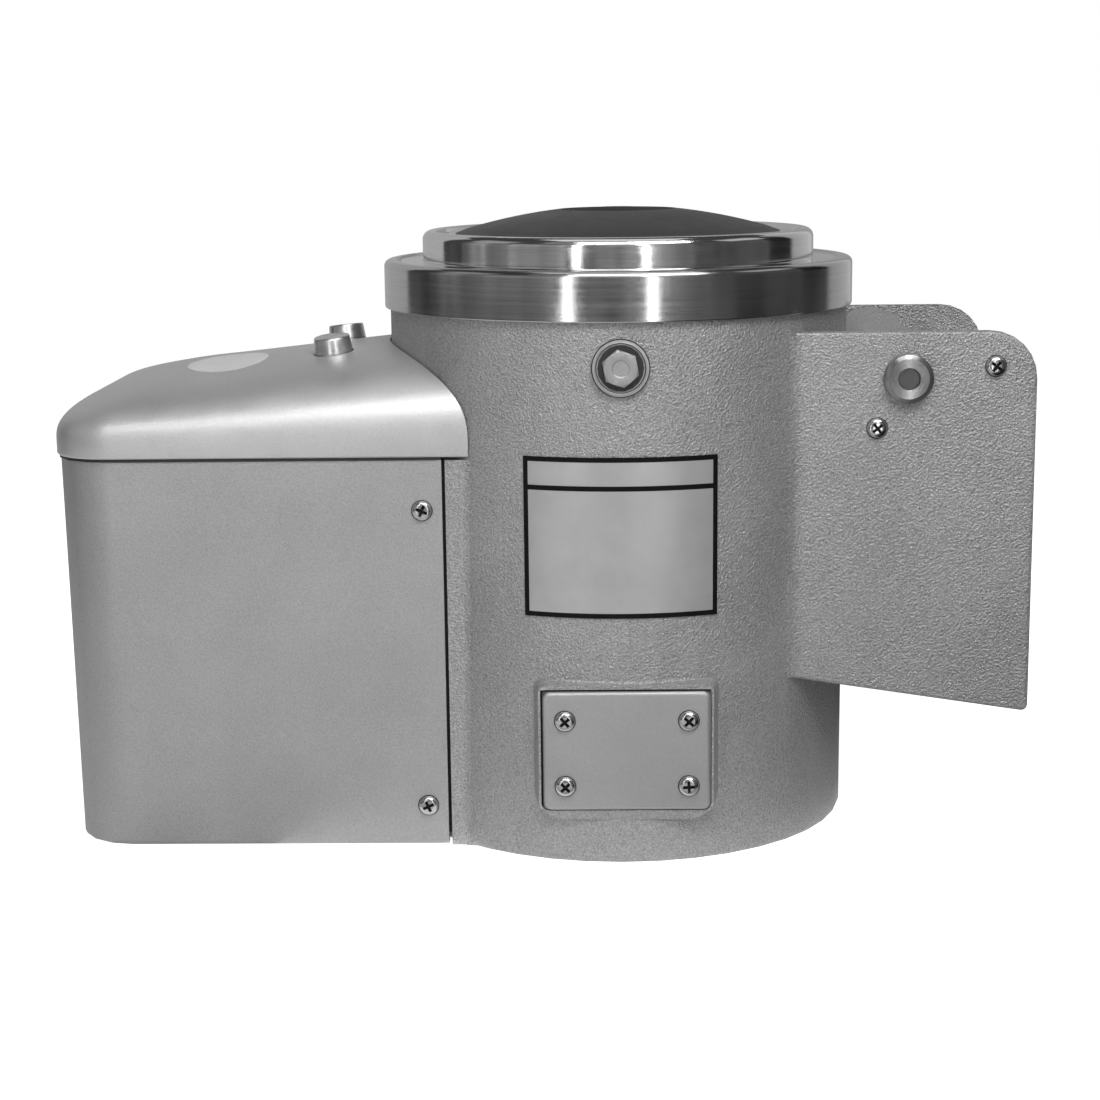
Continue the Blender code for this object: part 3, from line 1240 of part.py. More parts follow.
def motor_cap():
    """The domed cap, cut to the drum and bored for the buttons."""
    cap = cap_form("motor_cap", 0, CAP_BOTTOM)
    cutters = [cap_form("cap_hollow", CAP_WALL, CAP_BOTTOM - OVERRUN), round_drum("cap_relief", LOOSE_FIT)]
    for side in (-1, 1):
        seat, direction = button_seat(side)
        radius = BUTTON_BASE_RADIUS + LOOSE_FIT
        depth = CAP_WALL + OVERRUN
        hole = revolved(f"button_hole_{side + 2}",
                        [(0, depth), (radius, depth), (radius, -depth), (0, -depth)], PART_STEPS)
        cutters.append(aimed(hole, seat, direction))
    combine(cap, cutters, "DIFFERENCE")
    return finished(cap, CAST)


def cap_gasket():
    """The gasket between the casing and the cap, a little proud of the casing."""
    low = CASING_TOP + CLEARANCE
    high = CAP_BOTTOM - CLEARANCE
    outer = [(x, y) for x, y, _ in casing_ring(CASING_TOP, -GASKET_PROUD, CASING_RIGHT)]
    inner = [(x, y) for x, y, _ in casing_ring(CASING_TOP, GASKET_WIDTH, CASING_RIGHT + OVERRUN)]
    gasket = prism("cap_gasket", outer, low, high)
    combine(gasket, [prism("gasket_window", inner, low - OVERRUN, high + OVERRUN)], "DIFFERENCE")
    return finished(gasket, RUBBER)


def button(name, side):
    """A turned push button: a tapered head, a skirt through the cap and a stem into its switch."""
    seat, direction = button_seat(side)
    edge = BUTTON_EDGE_ROUND
    outline = [(0, BUTTON_HEIGHT), (BUTTON_TOP_RADIUS - edge, BUTTON_HEIGHT),
               (BUTTON_TOP_RADIUS, BUTTON_HEIGHT - edge),
               (BUTTON_BASE_RADIUS, 0), (BUTTON_BASE_RADIUS, -BUTTON_SKIRT),
               (BUTTON_STEM_RADIUS, -BUTTON_SKIRT),
               (BUTTON_STEM_RADIUS, -BUTTON_STEM_DEPTH), (0, -BUTTON_STEM_DEPTH)]
    return finished(aimed(revolved(name, outline, PART_STEPS), seat, direction), STEEL)


def switch_block(name, side):
    """The switch under a button: a barrel against the cap and a contact body below."""
    seat, direction = button_seat(side)
    top = -CAP_WALL - OVERRUN / 2
    barrel_bore = BUTTON_BASE_RADIUS + 2 * LOOSE_FIT
    stem_bore = BUTTON_STEM_RADIUS + LOOSE_FIT
    outline = [(barrel_bore, top), (SWITCH_BARREL_RADIUS, top),
               (SWITCH_BARREL_RADIUS, -SWITCH_BARREL_DEPTH),
               (SWITCH_BODY_RADIUS, -SWITCH_BARREL_DEPTH), (SWITCH_BODY_RADIUS, -SWITCH_BODY_DEPTH),
               (0, -SWITCH_BODY_DEPTH), (0, -SWITCH_BORE_DEPTH), (stem_bore, -SWITCH_BORE_DEPTH),
               (stem_bore, -SWITCH_FLOOR_DEPTH), (barrel_bore, -SWITCH_FLOOR_DEPTH)]
    return finished(aimed(revolved(name, outline, SMALL_STEPS), seat, direction), PLASTIC)


def motor_frame():
    """The finned motor frame on its foot flange."""
    top = MOTOR_BASE + MOTOR_HEIGHT
    bore = MOTOR_SHAFT_RADIUS + LOOSE_FIT
    outline = [(bore, top), (MOTOR_RADIUS, top), (MOTOR_RADIUS, MOTOR_BASE + MOTOR_FOOT_THICKNESS),
               (MOTOR_FOOT_RADIUS, MOTOR_BASE + MOTOR_FOOT_THICKNESS), (MOTOR_FOOT_RADIUS, MOTOR_BASE),
               (bore, MOTOR_BASE)]
    frame = revolved("motor_frame", outline, INNER_STEPS)
    slots = []
    low = MOTOR_BASE + MOTOR_FOOT_THICKNESS + MOTOR_FIN_DEPTH
    high = top - COWL_OVERLAP - MOTOR_FIN_DEPTH
    for fin in range(MOTOR_FIN_COUNT):
        turn = pi * (2 * fin + 1) / MOTOR_FIN_COUNT
        along = Vector((cos(turn), sin(turn)))
        across = Vector((-sin(turn), cos(turn))) * MOTOR_FIN_HALF_WIDTH
        near = along * (MOTOR_RADIUS - MOTOR_FIN_DEPTH)
        far = along * (MOTOR_RADIUS + OVERRUN)
        corners = [near - across, far - across, far + across, near + across]
        slots.append(([tuple(corner) for corner in corners], low, high, "Z"))
    combine(frame, [aimed(prisms("fin_slots", slots), (MOTOR_AXIS_X, 0, 0), (0, 0, 1))], "DIFFERENCE")
    return finished(aimed(frame, (MOTOR_AXIS_X, 0, 0), (0, 0, 1)), DARK_STEEL)


def fan_cowl():
    """The cowl over the motor's cooling fan, open in the middle of its top."""
    low = MOTOR_BASE + MOTOR_HEIGHT - COWL_OVERLAP
    high = low + COWL_HEIGHT
    inside = MOTOR_RADIUS + CLEARANCE
    outline = [(COWL_GRILLE_RADIUS, high), (COWL_RADIUS - COWL_WALL, high), (COWL_RADIUS, high - COWL_WALL),
               (COWL_RADIUS, low), (inside, low), (inside, high - COWL_WALL),
               (COWL_GRILLE_RADIUS, high - COWL_WALL)]
    return finished(aimed(revolved("fan_cowl", outline, INNER_STEPS), (MOTOR_AXIS_X, 0, 0), (0, 0, 1)),
                    DARK_STEEL)


def cooling_fan():
    """The fan on the top end of the motor shaft."""
    low = MOTOR_BASE + MOTOR_HEIGHT + COWL_WALL
    high = low + FAN_HEIGHT
    bore = MOTOR_SHAFT_RADIUS + CLEARANCE
    hub = revolved("cooling_fan",
                   [(bore, high), (FAN_HUB_RADIUS, high), (FAN_HUB_RADIUS, low + FAN_BLADE_THICKNESS),
                                   (FAN_RADIUS, low + FAN_BLADE_THICKNESS), (FAN_RADIUS, low), (bore, low)],
                   INNER_STEPS)
    blades = []
    for blade in range(FAN_BLADES):
        turn = 2 * pi * blade / FAN_BLADES
        along = Vector((cos(turn), sin(turn)))
        across = Vector((-sin(turn), cos(turn))) * (FAN_BLADE_THICKNESS / 2)
        near = along * (FAN_HUB_RADIUS - FAN_BLADE_THICKNESS / 2)
        far = along * (FAN_RADIUS - FAN_BLADE_THICKNESS)
        corners = [near - across, far - across, far + across, near + across]
        blades.append(([tuple(corner) for corner in corners], low + FAN_BLADE_THICKNESS / 2,
                       high - FAN_BLADE_THICKNESS, "Z"))
    combine(hub, [aimed(prisms("fan_blades", blades), (MOTOR_AXIS_X, 0, 0), (0, 0, 1))], "UNION")
    return finished(aimed(hub, (MOTOR_AXIS_X, 0, 0), (0, 0, 1)), PLASTIC)


def motor_shaft():
    """The motor shaft, from its pulley up to its fan."""
    edge = SHAFT_CHAMFER
    outline = [(0, MOTOR_SHAFT_TOP), (MOTOR_SHAFT_RADIUS - edge, MOTOR_SHAFT_TOP),
               (MOTOR_SHAFT_RADIUS, MOTOR_SHAFT_TOP - edge),
               (MOTOR_SHAFT_RADIUS, MOTOR_SHAFT_BOTTOM + edge),
               (MOTOR_SHAFT_RADIUS - edge, MOTOR_SHAFT_BOTTOM), (0, MOTOR_SHAFT_BOTTOM)]
    return finished(aimed(revolved("motor_shaft", outline, SMALL_STEPS), (MOTOR_AXIS_X, 0, 0), (0, 0, 1)),
                    STEEL)


def motor_mount_plate():
    """The plate that carries the motor from the drum's ledge."""
    top = MOTOR_PLATE_BOTTOM + MOTOR_PLATE_THICKNESS
    outline = rounded_rectangle(MOTOR_PLATE_END_X, -DRUM_RADIUS - LOOSE_FIT, -MOTOR_PLATE_HALF_WIDTH,
                                MOTOR_PLATE_HALF_WIDTH, MOTOR_PLATE_CORNER, 2)
    plate = prism("motor_mount_plate", outline, MOTOR_PLATE_BOTTOM, top)
    hole = prisms("motor_plate_hole",
                  [round_bar(MOTOR_AXIS_X, 0, MOTOR_PULLEY_RADIUS, MOTOR_PLATE_BOTTOM - OVERRUN,
                                                 top + OVERRUN, "Z")])
    combine(plate, [hole], "DIFFERENCE")
    return finished(plate, STEEL)


def run_capacitor():
    """The motor's run capacitor, standing in the corner of the casing."""
    low = CASING_WALL + CLEARANCE
    edge = OUTLET_BEAD
    top = low + CAPACITOR_LENGTH
    outline = [(0, top), (CAPACITOR_RADIUS - edge, top), (CAPACITOR_RADIUS, top - edge),
               (CAPACITOR_RADIUS, low), (0, low)]
    can = revolved("run_capacitor", outline, SMALL_STEPS)
    return finished(aimed(can, (CAPACITOR_X, CAPACITOR_Y, 0), (0, 0, 1)), STEEL)


def cable_gland():
    """The gland where the mains lead enters the casing."""
    wall = casing_half_width(GLAND_HEIGHT)
    face = wall + CLEARANCE
    outline = [(GLAND_BORE_RADIUS, GLAND_HEX_THICKNESS + GLAND_NOSE),
               (GLAND_RADIUS * GLAND_NOSE_SHARE, GLAND_HEX_THICKNESS + GLAND_NOSE),
               (GLAND_RADIUS, GLAND_HEX_THICKNESS + GLAND_NOSE / 2), (GLAND_RADIUS, 0),
               (GLAND_THREAD_RADIUS, 0),
               (GLAND_THREAD_RADIUS, -CASING_WALL - GLAND_HEX_THICKNESS),
               (GLAND_BORE_RADIUS, -CASING_WALL - GLAND_HEX_THICKNESS)]
    gland = revolved("cable_gland", outline, SMALL_STEPS)
    return finished(aimed(gland, (GLAND_X, face, GLAND_HEIGHT), (0, 1, 0)), PLASTIC)


def door_pivot():
    """The fixed pivot shaft through both cheeks, and the turned caps that close its ends."""
    shaft = prisms("door_pivot_shaft",
                   [round_bar(PIVOT_X, PIVOT_HEIGHT, PIVOT_SHAFT_RADIUS, -CHEEK_FACE, CHEEK_FACE, "Y")])
    finished(shaft, STEEL)
    edge = PIVOT_CAP_CHAMFER
    outline = [(0, PIVOT_CAP_THICKNESS - PIVOT_CAP_DISH_DEPTH),
               (PIVOT_CAP_DISH_RADIUS, PIVOT_CAP_THICKNESS - PIVOT_CAP_DISH_DEPTH),
               (PIVOT_CAP_DISH_RADIUS, PIVOT_CAP_THICKNESS - edge),
               (PIVOT_CAP_RADIUS - 2 * edge, PIVOT_CAP_THICKNESS),
               (PIVOT_CAP_RADIUS, PIVOT_CAP_THICKNESS - edge), (PIVOT_CAP_RADIUS, 0), (0, 0)]
    for name, side in (("pivot_cap_near", -1), ("pivot_cap_far", 1)):
        cap = finished(revolved(name, outline), STEEL)
        aimed(cap, (PIVOT_X, side * (CHEEK_FACE + CLEARANCE), PIVOT_HEIGHT), (0, side, 0))


def ear_outline():
    """Side view of a door ear: a disc round the pivot, and an arm down to the plate."""
    inside = DOOR_INNER_X - PIVOT_X
    start = -degrees(acos(DOOR_ARM_OUTSIDE / DOOR_EAR_RADIUS))
    end = 360 - degrees(acos(inside / DOOR_EAR_RADIUS))
    outline = [(DOOR_INNER_X, DOOR_ARM_FOOT), (DOOR_OUTER_X, DOOR_ARM_FOOT),
               (PIVOT_X + DOOR_ARM_OUTSIDE, DOOR_ARM_SHOULDER)]
    return outline + arc(PIVOT_X, PIVOT_HEIGHT, DOOR_EAR_RADIUS, start, end, SMALL_STEPS)


def door_pad():
    """The hollow pad that fills the tunnel and continues the chamber's wall."""
    half = TUNNEL_HALF_WIDTH - DOOR_PAD_GAP
    top = TUNNEL_TOP - DOOR_PAD_GAP
    back = CHAMBER_RADIUS * cos(WIDE_ROOT_BEARING)
    outline = [(back, DOOR_PAD_BOTTOM), (DOOR_OUTER_X, DOOR_PAD_BOTTOM), (DOOR_OUTER_X, top), (back, top)]
    pad = prism("door_pad", outline, -half, half, "Y")
    sweep = prisms("door_sweep",
                   [round_bar(PIVOT_X, PIVOT_HEIGHT, DOOR_SWEEP_RADIUS, -DRUM_RADIUS, DRUM_RADIUS, "Y",
                              DRUM_STEPS)])
    combine(pad, [sweep], "INTERSECT")
    wall = DOOR_PAD_WALL
    pocket_low = PIVOT_HEIGHT - DOOR_SWEEP_RADIUS * cos(DOOR_POCKET_BEARING) + 2 * wall
    pocket = prism("door_pocket", [(back, pocket_low), (DOOR_OUTER_X + OVERRUN, pocket_low),
                                   (DOOR_OUTER_X + OVERRUN, top - wall), (back, top - wall)],
                   wall - half, half - wall, "Y")
    skin = CHAMBER_RADIUS + DOOR_SETBACK + wall
    combine(pocket,
            [revolved("door_skin", [(0, DRUM_HEIGHT), (skin, DRUM_HEIGHT), (skin, 0), (0, 0)], DRUM_STEPS)],
            "DIFFERENCE")
    return pad, pocket


def discharge_door():
    """The door casting: flanged plate, ears on the pivot, and the hollow pad."""
    plate = [(DOOR_INNER_X, DOOR_BOTTOM), (DOOR_OUTER_X, DOOR_BOTTOM), (DOOR_OUTER_X, DOOR_TOP),
             (DOOR_INNER_X, DOOR_TOP)]
    door = prism("discharge_door", plate, -DOOR_HALF_WIDTH, DOOR_HALF_WIDTH, "Y")
    ears = []
    for side in (1, -1):
        ends = sorted((side * DOOR_HALF_WIDTH, side * (DOOR_HALF_WIDTH - DOOR_EAR_THICKNESS)))
        ears.append((ear_outline(), *ends, "Y"))
    pad, pocket = door_pad()
    combine(door, [prisms("door_ears", ears), pad], "UNION")
    face = CHAMBER_RADIUS + DOOR_SETBACK
    inside = revolved("door_inside", [(0, DRUM_HEIGHT), (face, DRUM_HEIGHT), (face, 0), (0, 0)], DRUM_STEPS)
    bore = prisms("door_bore",
                  [round_bar(PIVOT_X, PIVOT_HEIGHT, PIVOT_SHAFT_RADIUS + LOOSE_FIT, -DRUM_RADIUS,
                             DRUM_RADIUS, "Y")])
    combine(door, [pocket, inside, bore], "DIFFERENCE")
    return finished(with_origin(door, (PIVOT_X, 0, PIVOT_HEIGHT)), CAST)


def door_seal():
    """The rubber strip between the door's flange and the jambs."""
    width = DOOR_OVERLAP
    low = chute_floor(JAMB_FACE) + OVERRUN
    outer = rounded_rectangle(-TUNNEL_HALF_WIDTH - width, TUNNEL_HALF_WIDTH + width, low,
                              TUNNEL_TOP + width, SEAL_CORNER, EDGE_STEPS)
    inner = rounded_rectangle(-TUNNEL_HALF_WIDTH, TUNNEL_HALF_WIDTH, DOOR_PAD_BOTTOM - DOOR_PAD_GAP / 2,
                              TUNNEL_TOP, SEAL_CORNER, EDGE_STEPS)
    start = JAMB_FACE + CLEARANCE
    seal = prism("door_seal", outer, start, start + DOOR_SEAL, "X")
    combine(seal, [prism("seal_window", inner, start - OVERRUN, start + DOOR_SEAL + OVERRUN, "X")],
            "DIFFERENCE")
    return finished(with_origin(seal, (PIVOT_X, 0, PIVOT_HEIGHT)), RUBBER)


def door_handle():
    """The bar handle across the door: a bent rod standing on the flange."""
    foot = DOOR_OUTER_X + CLEARANCE
    bar = DOOR_OUTER_X + HANDLE_REACH
    half = DOOR_HALF_WIDTH - HANDLE_INSET
    bend = HANDLE_BEND
    near = [(foot, -half)] + arc(bar - bend, bend - half, bend, -90, 0, EDGE_STEPS)
    path = near + [(x, -y) for x, y in reversed(near)]
    shape = bmesh.new()
    rings = []
    for index, (x, y) in enumerate(path):
        before = path[max(index - 1, 0)]
        after = path[min(index + 1, len(path) - 1)]
        along = Vector((after[0] - before[0], after[1] - before[1], 0)).normalized()
        across = Vector((along.y, -along.x, 0))
        rings.append([Vector((x, y, HANDLE_HEIGHT))
                      + HANDLE_RADIUS * (cos(turn) * across + sin(turn) * Vector((0, 0, 1)))
                      for turn in (2 * pi * side / SMALL_STEPS for side in range(SMALL_STEPS))])
    add_loft(shape, rings)
    return finished(with_origin(mesh_object("door_handle", shape), (PIVOT_X, 0, PIVOT_HEIGHT)), STEEL)


def door_stops():
    """The stop pegs inside the cheeks and the screws that hold them from outside."""
    hole = SCREW_HOLE_RADIUS
    depth = SCREW_LENGTH - CHEEK_THICKNESS
    outline = [(0, PEG_LENGTH), (PEG_RADIUS, PEG_LENGTH), (PEG_RADIUS, 0), (hole, 0), (hole, depth),
               (0, depth)]
    places = [(side, x, z) for side in (-1, 1) for x, z in stop_places()]
    for number, (side, x, z) in enumerate(places, 1):
        peg = finished(revolved(f"stop_peg_{number}", outline, SCREW_STEPS), STEEL)
        aimed(peg, (x, side * (CHEEK_INSIDE - CLEARANCE), z), (0, -side, 0))
        pan_screw(f"cheek_screw_{number}", (x, side * CHEEK_FACE, z), (0, side, 0))


def build():
    clear_scene()
    drum_axis()
    drum_body()
    rim_ring()
    chamber_liner()
    top_cover()
    rubber_lid()
    bearing_housing()
    bearing("upper_bearing", UPPER_BEARING_BOTTOM)
    bearing("lower_bearing", LOWER_BEARING_BOTTOM)
    shaft_seal()
    main_shaft()
    driven_pulley()
    rotor_plate()
    rotor_abrasive()
    drive_belt()
    base_plate()
    access_plate()
    inlet_plug()
    water_inlet()
    waste_outlet()
    motor_casing()
    motor_cap()
    cap_gasket()
    motor_frame()
    fan_cowl()
    cooling_fan()
    motor_shaft()
    motor_pulley()
    motor_mount_plate()
    run_capacitor()
    cable_gland()
    for name, side in (("start_button", -1), ("stop_button", 1)):
        button(name, side)
        switch_block(f"{name}_switch", side)
    door_pivot()
    discharge_door()
    door_seal()
    door_handle()
    door_stops()


build()
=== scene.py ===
"""Looks of the bench potato rumbler: its finishes, turned trim, screw heads, bare labels and studio.

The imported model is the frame. Its nodes keep their shapes and take finishes here, and the pieces that
need finer turning or engraving than the model has are made here and stand in their nodes' places.
"""

import json
import logging
from collections.abc import Callable, Iterable, Sequence
from dataclasses import dataclass, field
from enum import Enum
from math import asin, atan2, cos, degrees, hypot, pi, radians, sin, sqrt

import bmesh
import bpy
from mathutils import Matrix, Vector
from mathutils.bvhtree import BVHTree


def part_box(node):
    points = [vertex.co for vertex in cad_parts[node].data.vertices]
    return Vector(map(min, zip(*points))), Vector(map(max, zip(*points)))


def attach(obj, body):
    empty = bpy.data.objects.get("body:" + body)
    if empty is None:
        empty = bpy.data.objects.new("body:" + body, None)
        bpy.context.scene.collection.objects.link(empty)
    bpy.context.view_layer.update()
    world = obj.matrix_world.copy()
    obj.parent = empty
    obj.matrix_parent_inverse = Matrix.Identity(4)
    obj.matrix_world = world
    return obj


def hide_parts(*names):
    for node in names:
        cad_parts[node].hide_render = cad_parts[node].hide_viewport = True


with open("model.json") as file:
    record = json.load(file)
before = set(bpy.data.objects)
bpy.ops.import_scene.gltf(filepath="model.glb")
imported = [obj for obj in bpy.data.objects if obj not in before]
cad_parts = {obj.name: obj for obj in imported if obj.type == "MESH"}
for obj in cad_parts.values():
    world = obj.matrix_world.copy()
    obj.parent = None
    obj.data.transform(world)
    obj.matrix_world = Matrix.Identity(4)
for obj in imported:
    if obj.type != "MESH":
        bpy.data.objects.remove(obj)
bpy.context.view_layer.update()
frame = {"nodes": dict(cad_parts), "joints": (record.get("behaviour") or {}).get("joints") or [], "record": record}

log = logging.getLogger("rumbler")

TIER_EDGE = 0.324
Point = tuple[float, float]


class Side(Enum):
    """Which way a piece faces across the machine."""

    NEAR = -1
    FAR = 1

    @property
    def outward(self) -> Vector:
        """The direction that the side faces."""
        return Vector((0.0, float(self.value), 0.0))


class Grain(Enum):
    """How coarse the skin of a casting is: share of the full grain, and its feature size in metres."""

    SAND = (1.0, 0.0012)
    FINE = (0.42, 0.0011)
    SMOOTH = (0.24, 0.0009)


# ---------------------------------------------------------------------------------------------
# Finishes
# ---------------------------------------------------------------------------------------------


class Shading:
    """The node tree of one finish, with short calls to add nodes and join them."""

    def __init__(self, name: str) -> None:
        """Makes an empty material with its shader and output.

        Args:
            name: The finish's name.
        """
        self.material = bpy.data.materials.new(name)
        self.material.use_nodes = True
        self.tree = self.material.node_tree
        self.tree.nodes.clear()
        self.output = self.add("ShaderNodeOutputMaterial")
        self.shader = self.add("ShaderNodeBsdfPrincipled")
        self.join(self.shader, "BSDF", self.output, "Surface")

    def add(self, kind: str, **settings: object) -> bpy.types.Node:
        """Adds a node.

        Args:
            kind: Blender's name for the node.
            settings: Node properties to set.

        Returns:
            The new node.
        """
        node = self.tree.nodes.new(kind)
        for key, value in settings.items():
            setattr(node, key, value)
        return node

    def join(self, source: bpy.types.Node, out: str | int, target: bpy.types.Node, socket: str | int) -> None:
        """Joins one node's output to another's input."""
        self.tree.links.new(source.outputs[out], target.inputs[socket])

    def set(self, **values: object) -> None:
        """Sets constants on the shader's own sockets, spaces in their names written as underscores."""
        for key, value in values.items():
            self.shader.inputs[key.replace("_", " ")].default_value = value

    def place(self) -> bpy.types.Node:
        """The node that gives a point's own place on its piece, in metres."""
        return self.add("ShaderNodeTexCoord")

    def noise(self, source: bpy.types.Node, out: str | int, size: float, detail: float = 3.0,
              roughness: float = 0.55, distortion: float = 0.0) -> bpy.types.Node:
        """Adds a noise whose features have a real size.

        Args:
            source: Node that gives the place.
            out: Its output.
            size: Feature size in metres.
            detail: Finer layers on top.
            roughness: Weight of the finer layers.
            distortion: How far the pattern is drawn about.

        Returns:
            The noise node.
        """
        node = self.add("ShaderNodeTexNoise")
        self.join(source, out, node, "Vector")
        for key, value in {"Scale": 1.0 / size, "Detail": detail, "Roughness": roughness,
                           "Distortion": distortion}.items():
            node.inputs[key].default_value = value
        return node

    def span(self, source: bpy.types.Node, out: str | int, low: float, high: float,
             start: float = 0.3, end: float = 0.7) -> bpy.types.Node:
        """Maps a pattern's usual range onto other limits.

        Args:
            source: Node that gives the pattern.
            out: Its output.
            low: Value at the start of the range.
            high: Value at its end.
            start: Where the range starts.
            end: Where it ends.

        Returns:
            The mapping node.
        """
        node = self.add("ShaderNodeMapRange")
        for key, value in {"From Min": start, "From Max": end, "To Min": low, "To Max": high}.items():
            node.inputs[key].default_value = value
        self.join(source, out, node, "Value")
        return node

    def tones(self, source: bpy.types.Node, out: str | int, stops: Sequence[tuple[float, Sequence[float]]]) -> bpy.types.Node:
        """Colours a pattern.

        Args:
            source: Node that gives the pattern.
            out: Its output.
            stops: Place and colour of each stop.

        Returns:
            The colour node.
        """
        node = self.add("ShaderNodeValToRGB")
        ramp = node.color_ramp
        while len(ramp.elements) < len(stops):
            ramp.elements.new(1.0)
        for element, (place, colour) in zip(ramp.elements, stops):
            element.position = place
            element.color = (*colour, 1.0)
        self.join(source, out, node, "Fac")
        return node

    def relief(self, source: bpy.types.Node, out: str | int, depth: float, strength: float = 1.0,
               under: bpy.types.Node | None = None) -> bpy.types.Node:
        """Adds a bump of a real depth.

        Args:
            source: Node that gives the height.
            out: Its output.
            depth: Depth in metres.
            strength: Share of it that shows.
            under: A bump that lies below this one.

        Returns:
            The bump node.
        """
        node = self.add("ShaderNodeBump")
        node.inputs["Distance"].default_value = depth
        node.inputs["Strength"].default_value = strength
        self.join(source, out, node, "Height")
        if under is not None:
            self.join(under, "Normal", node, "Normal")
        return node

    def about(self, centre: Vector, axis: Vector, along: float, around: float) -> bpy.types.Node:
        """Turned coordinates about an axis, for marks that a lathe or a mop leaves.

        Args:
            centre: A point on the axis.
            axis: Its direction.
            along: Scale of radius and height.
            around: Scale of the angle.

        Returns:
            A node whose first output is the vector.
        """
        turn = axis.to_track_quat("Z", "Y").to_matrix().to_4x4().inverted() @ Matrix.Translation(-centre)
        place = self.place()
        mapping = self.add("ShaderNodeMapping", vector_type="POINT")
        mapping.inputs["Rotation"].default_value = turn.to_euler()
        mapping.inputs["Location"].default_value = turn.to_translation()
        self.join(place, "Object", mapping, "Vector")
        apart = self.add("ShaderNodeSeparateXYZ")
        self.join(mapping, 0, apart, 0)
        across = self.add("ShaderNodeCombineXYZ")
        self.join(apart, 0, across, 0)
        self.join(apart, 1, across, 1)
        length = self.add("ShaderNodeVectorMath", operation="LENGTH")
        self.join(across, 0, length, 0)
        angle = self.add("ShaderNodeMath", operation="ARCTAN2")
        self.join(apart, 1, angle, 0)
        self.join(apart, 0, angle, 1)
        scaled = []
        for node, out, scale in ((length, "Value", along), (angle, 0, around), (apart, 2, along)):
            times = self.add("ShaderNodeMath", operation="MULTIPLY")
            times.inputs[1].default_value = scale
            self.join(node, out, times, 0)
            scaled.append(times)
        packed = self.add("ShaderNodeCombineXYZ")
        for index, node in enumerate(scaled):
            self.join(node, 0, packed, index)
        return packed


@dataclass(frozen=True)
class CastFinish:
    """Silver-finished cast aluminium: a fine sand grain, soft mottling and worn patches."""

    name: str
    grain: Grain
    colour: float = 0.40
    metal: float = 0.72
    roughness: float = 0.50
    grain_depth: float = 0.00090
    mottle_size: float = 0.055

    def material(self) -> bpy.types.Material:
        """Builds the finish.

        Returns:
            The material.
        """
        amount, size = self.grain.value
        sheet = Shading(self.name)
        place = sheet.place()
        grain = sheet.noise(place, "Object", size, 2.0, 0.50, 1.1)
        speck = sheet.noise(place, "Object", size * 0.42, 2.0, 0.5)
        mottle = sheet.noise(place, "Object", self.mottle_size, 4.0, 0.6)
        patch = sheet.noise(place, "Object", self.mottle_size * 2.2, 2.0, 0.5)
        both = sheet.add("ShaderNodeMix", data_type="FLOAT")
        both.inputs["Factor"].default_value = 0.28
        sheet.join(grain, "Fac", both, "A")
        sheet.join(speck, "Fac", both, "B")
        contrast = 0.30 * amount
        dark, light = self.colour * (1 - contrast), self.colour * (1 + contrast)
        tone = sheet.span(both, "Result", dark, light, 0.36, 0.64)
        cloud = sheet.span(mottle, "Fac", 0.95, 1.05)
        times = sheet.add("ShaderNodeMath", operation="MULTIPLY")
        sheet.join(tone, 0, times, 0)
        sheet.join(cloud, 0, times, 1)
        colour = sheet.add("ShaderNodeCombineColor")
        for index in range(3):
            sheet.join(times, 0, colour, index)
        sheet.join(colour, 0, sheet.shader, "Base Color")
        rough = sheet.span(mottle, "Fac", self.roughness - 0.05, self.roughness + 0.05)
        sheet.join(rough, 0, sheet.shader, "Roughness")
        swell = sheet.span(patch, "Fac", 0.55 * amount, amount)
        bend = sheet.noise(place, "Object", size * 1.1, 2.0, 0.5)
        pulled = sheet.add("ShaderNodeVectorMath", operation="MULTIPLY_ADD")
        pulled.inputs[1].default_value = (size * 1.1,) * 3
        sheet.join(bend, "Color", pulled, 0)
        sheet.join(place, "Object", pulled, 2)
        cells = sheet.add("ShaderNodeTexVoronoi", feature="SMOOTH_F1")
        cells.inputs["Scale"].default_value = 1.0 / (size * 1.2)
        cells.inputs["Smoothness"].default_value = 0.5
        sheet.join(pulled, 0, cells, "Vector")
        leather = sheet.relief(cells, "Distance", self.grain_depth, 0.80 * amount * amount)
        relief = sheet.relief(both, "Result", self.grain_depth, under=leather)
        sheet.join(swell, 0, relief, "Strength")
        sheet.join(relief, 0, sheet.shader, "Normal")
        sheet.set(Metallic=self.metal)
        return sheet.material


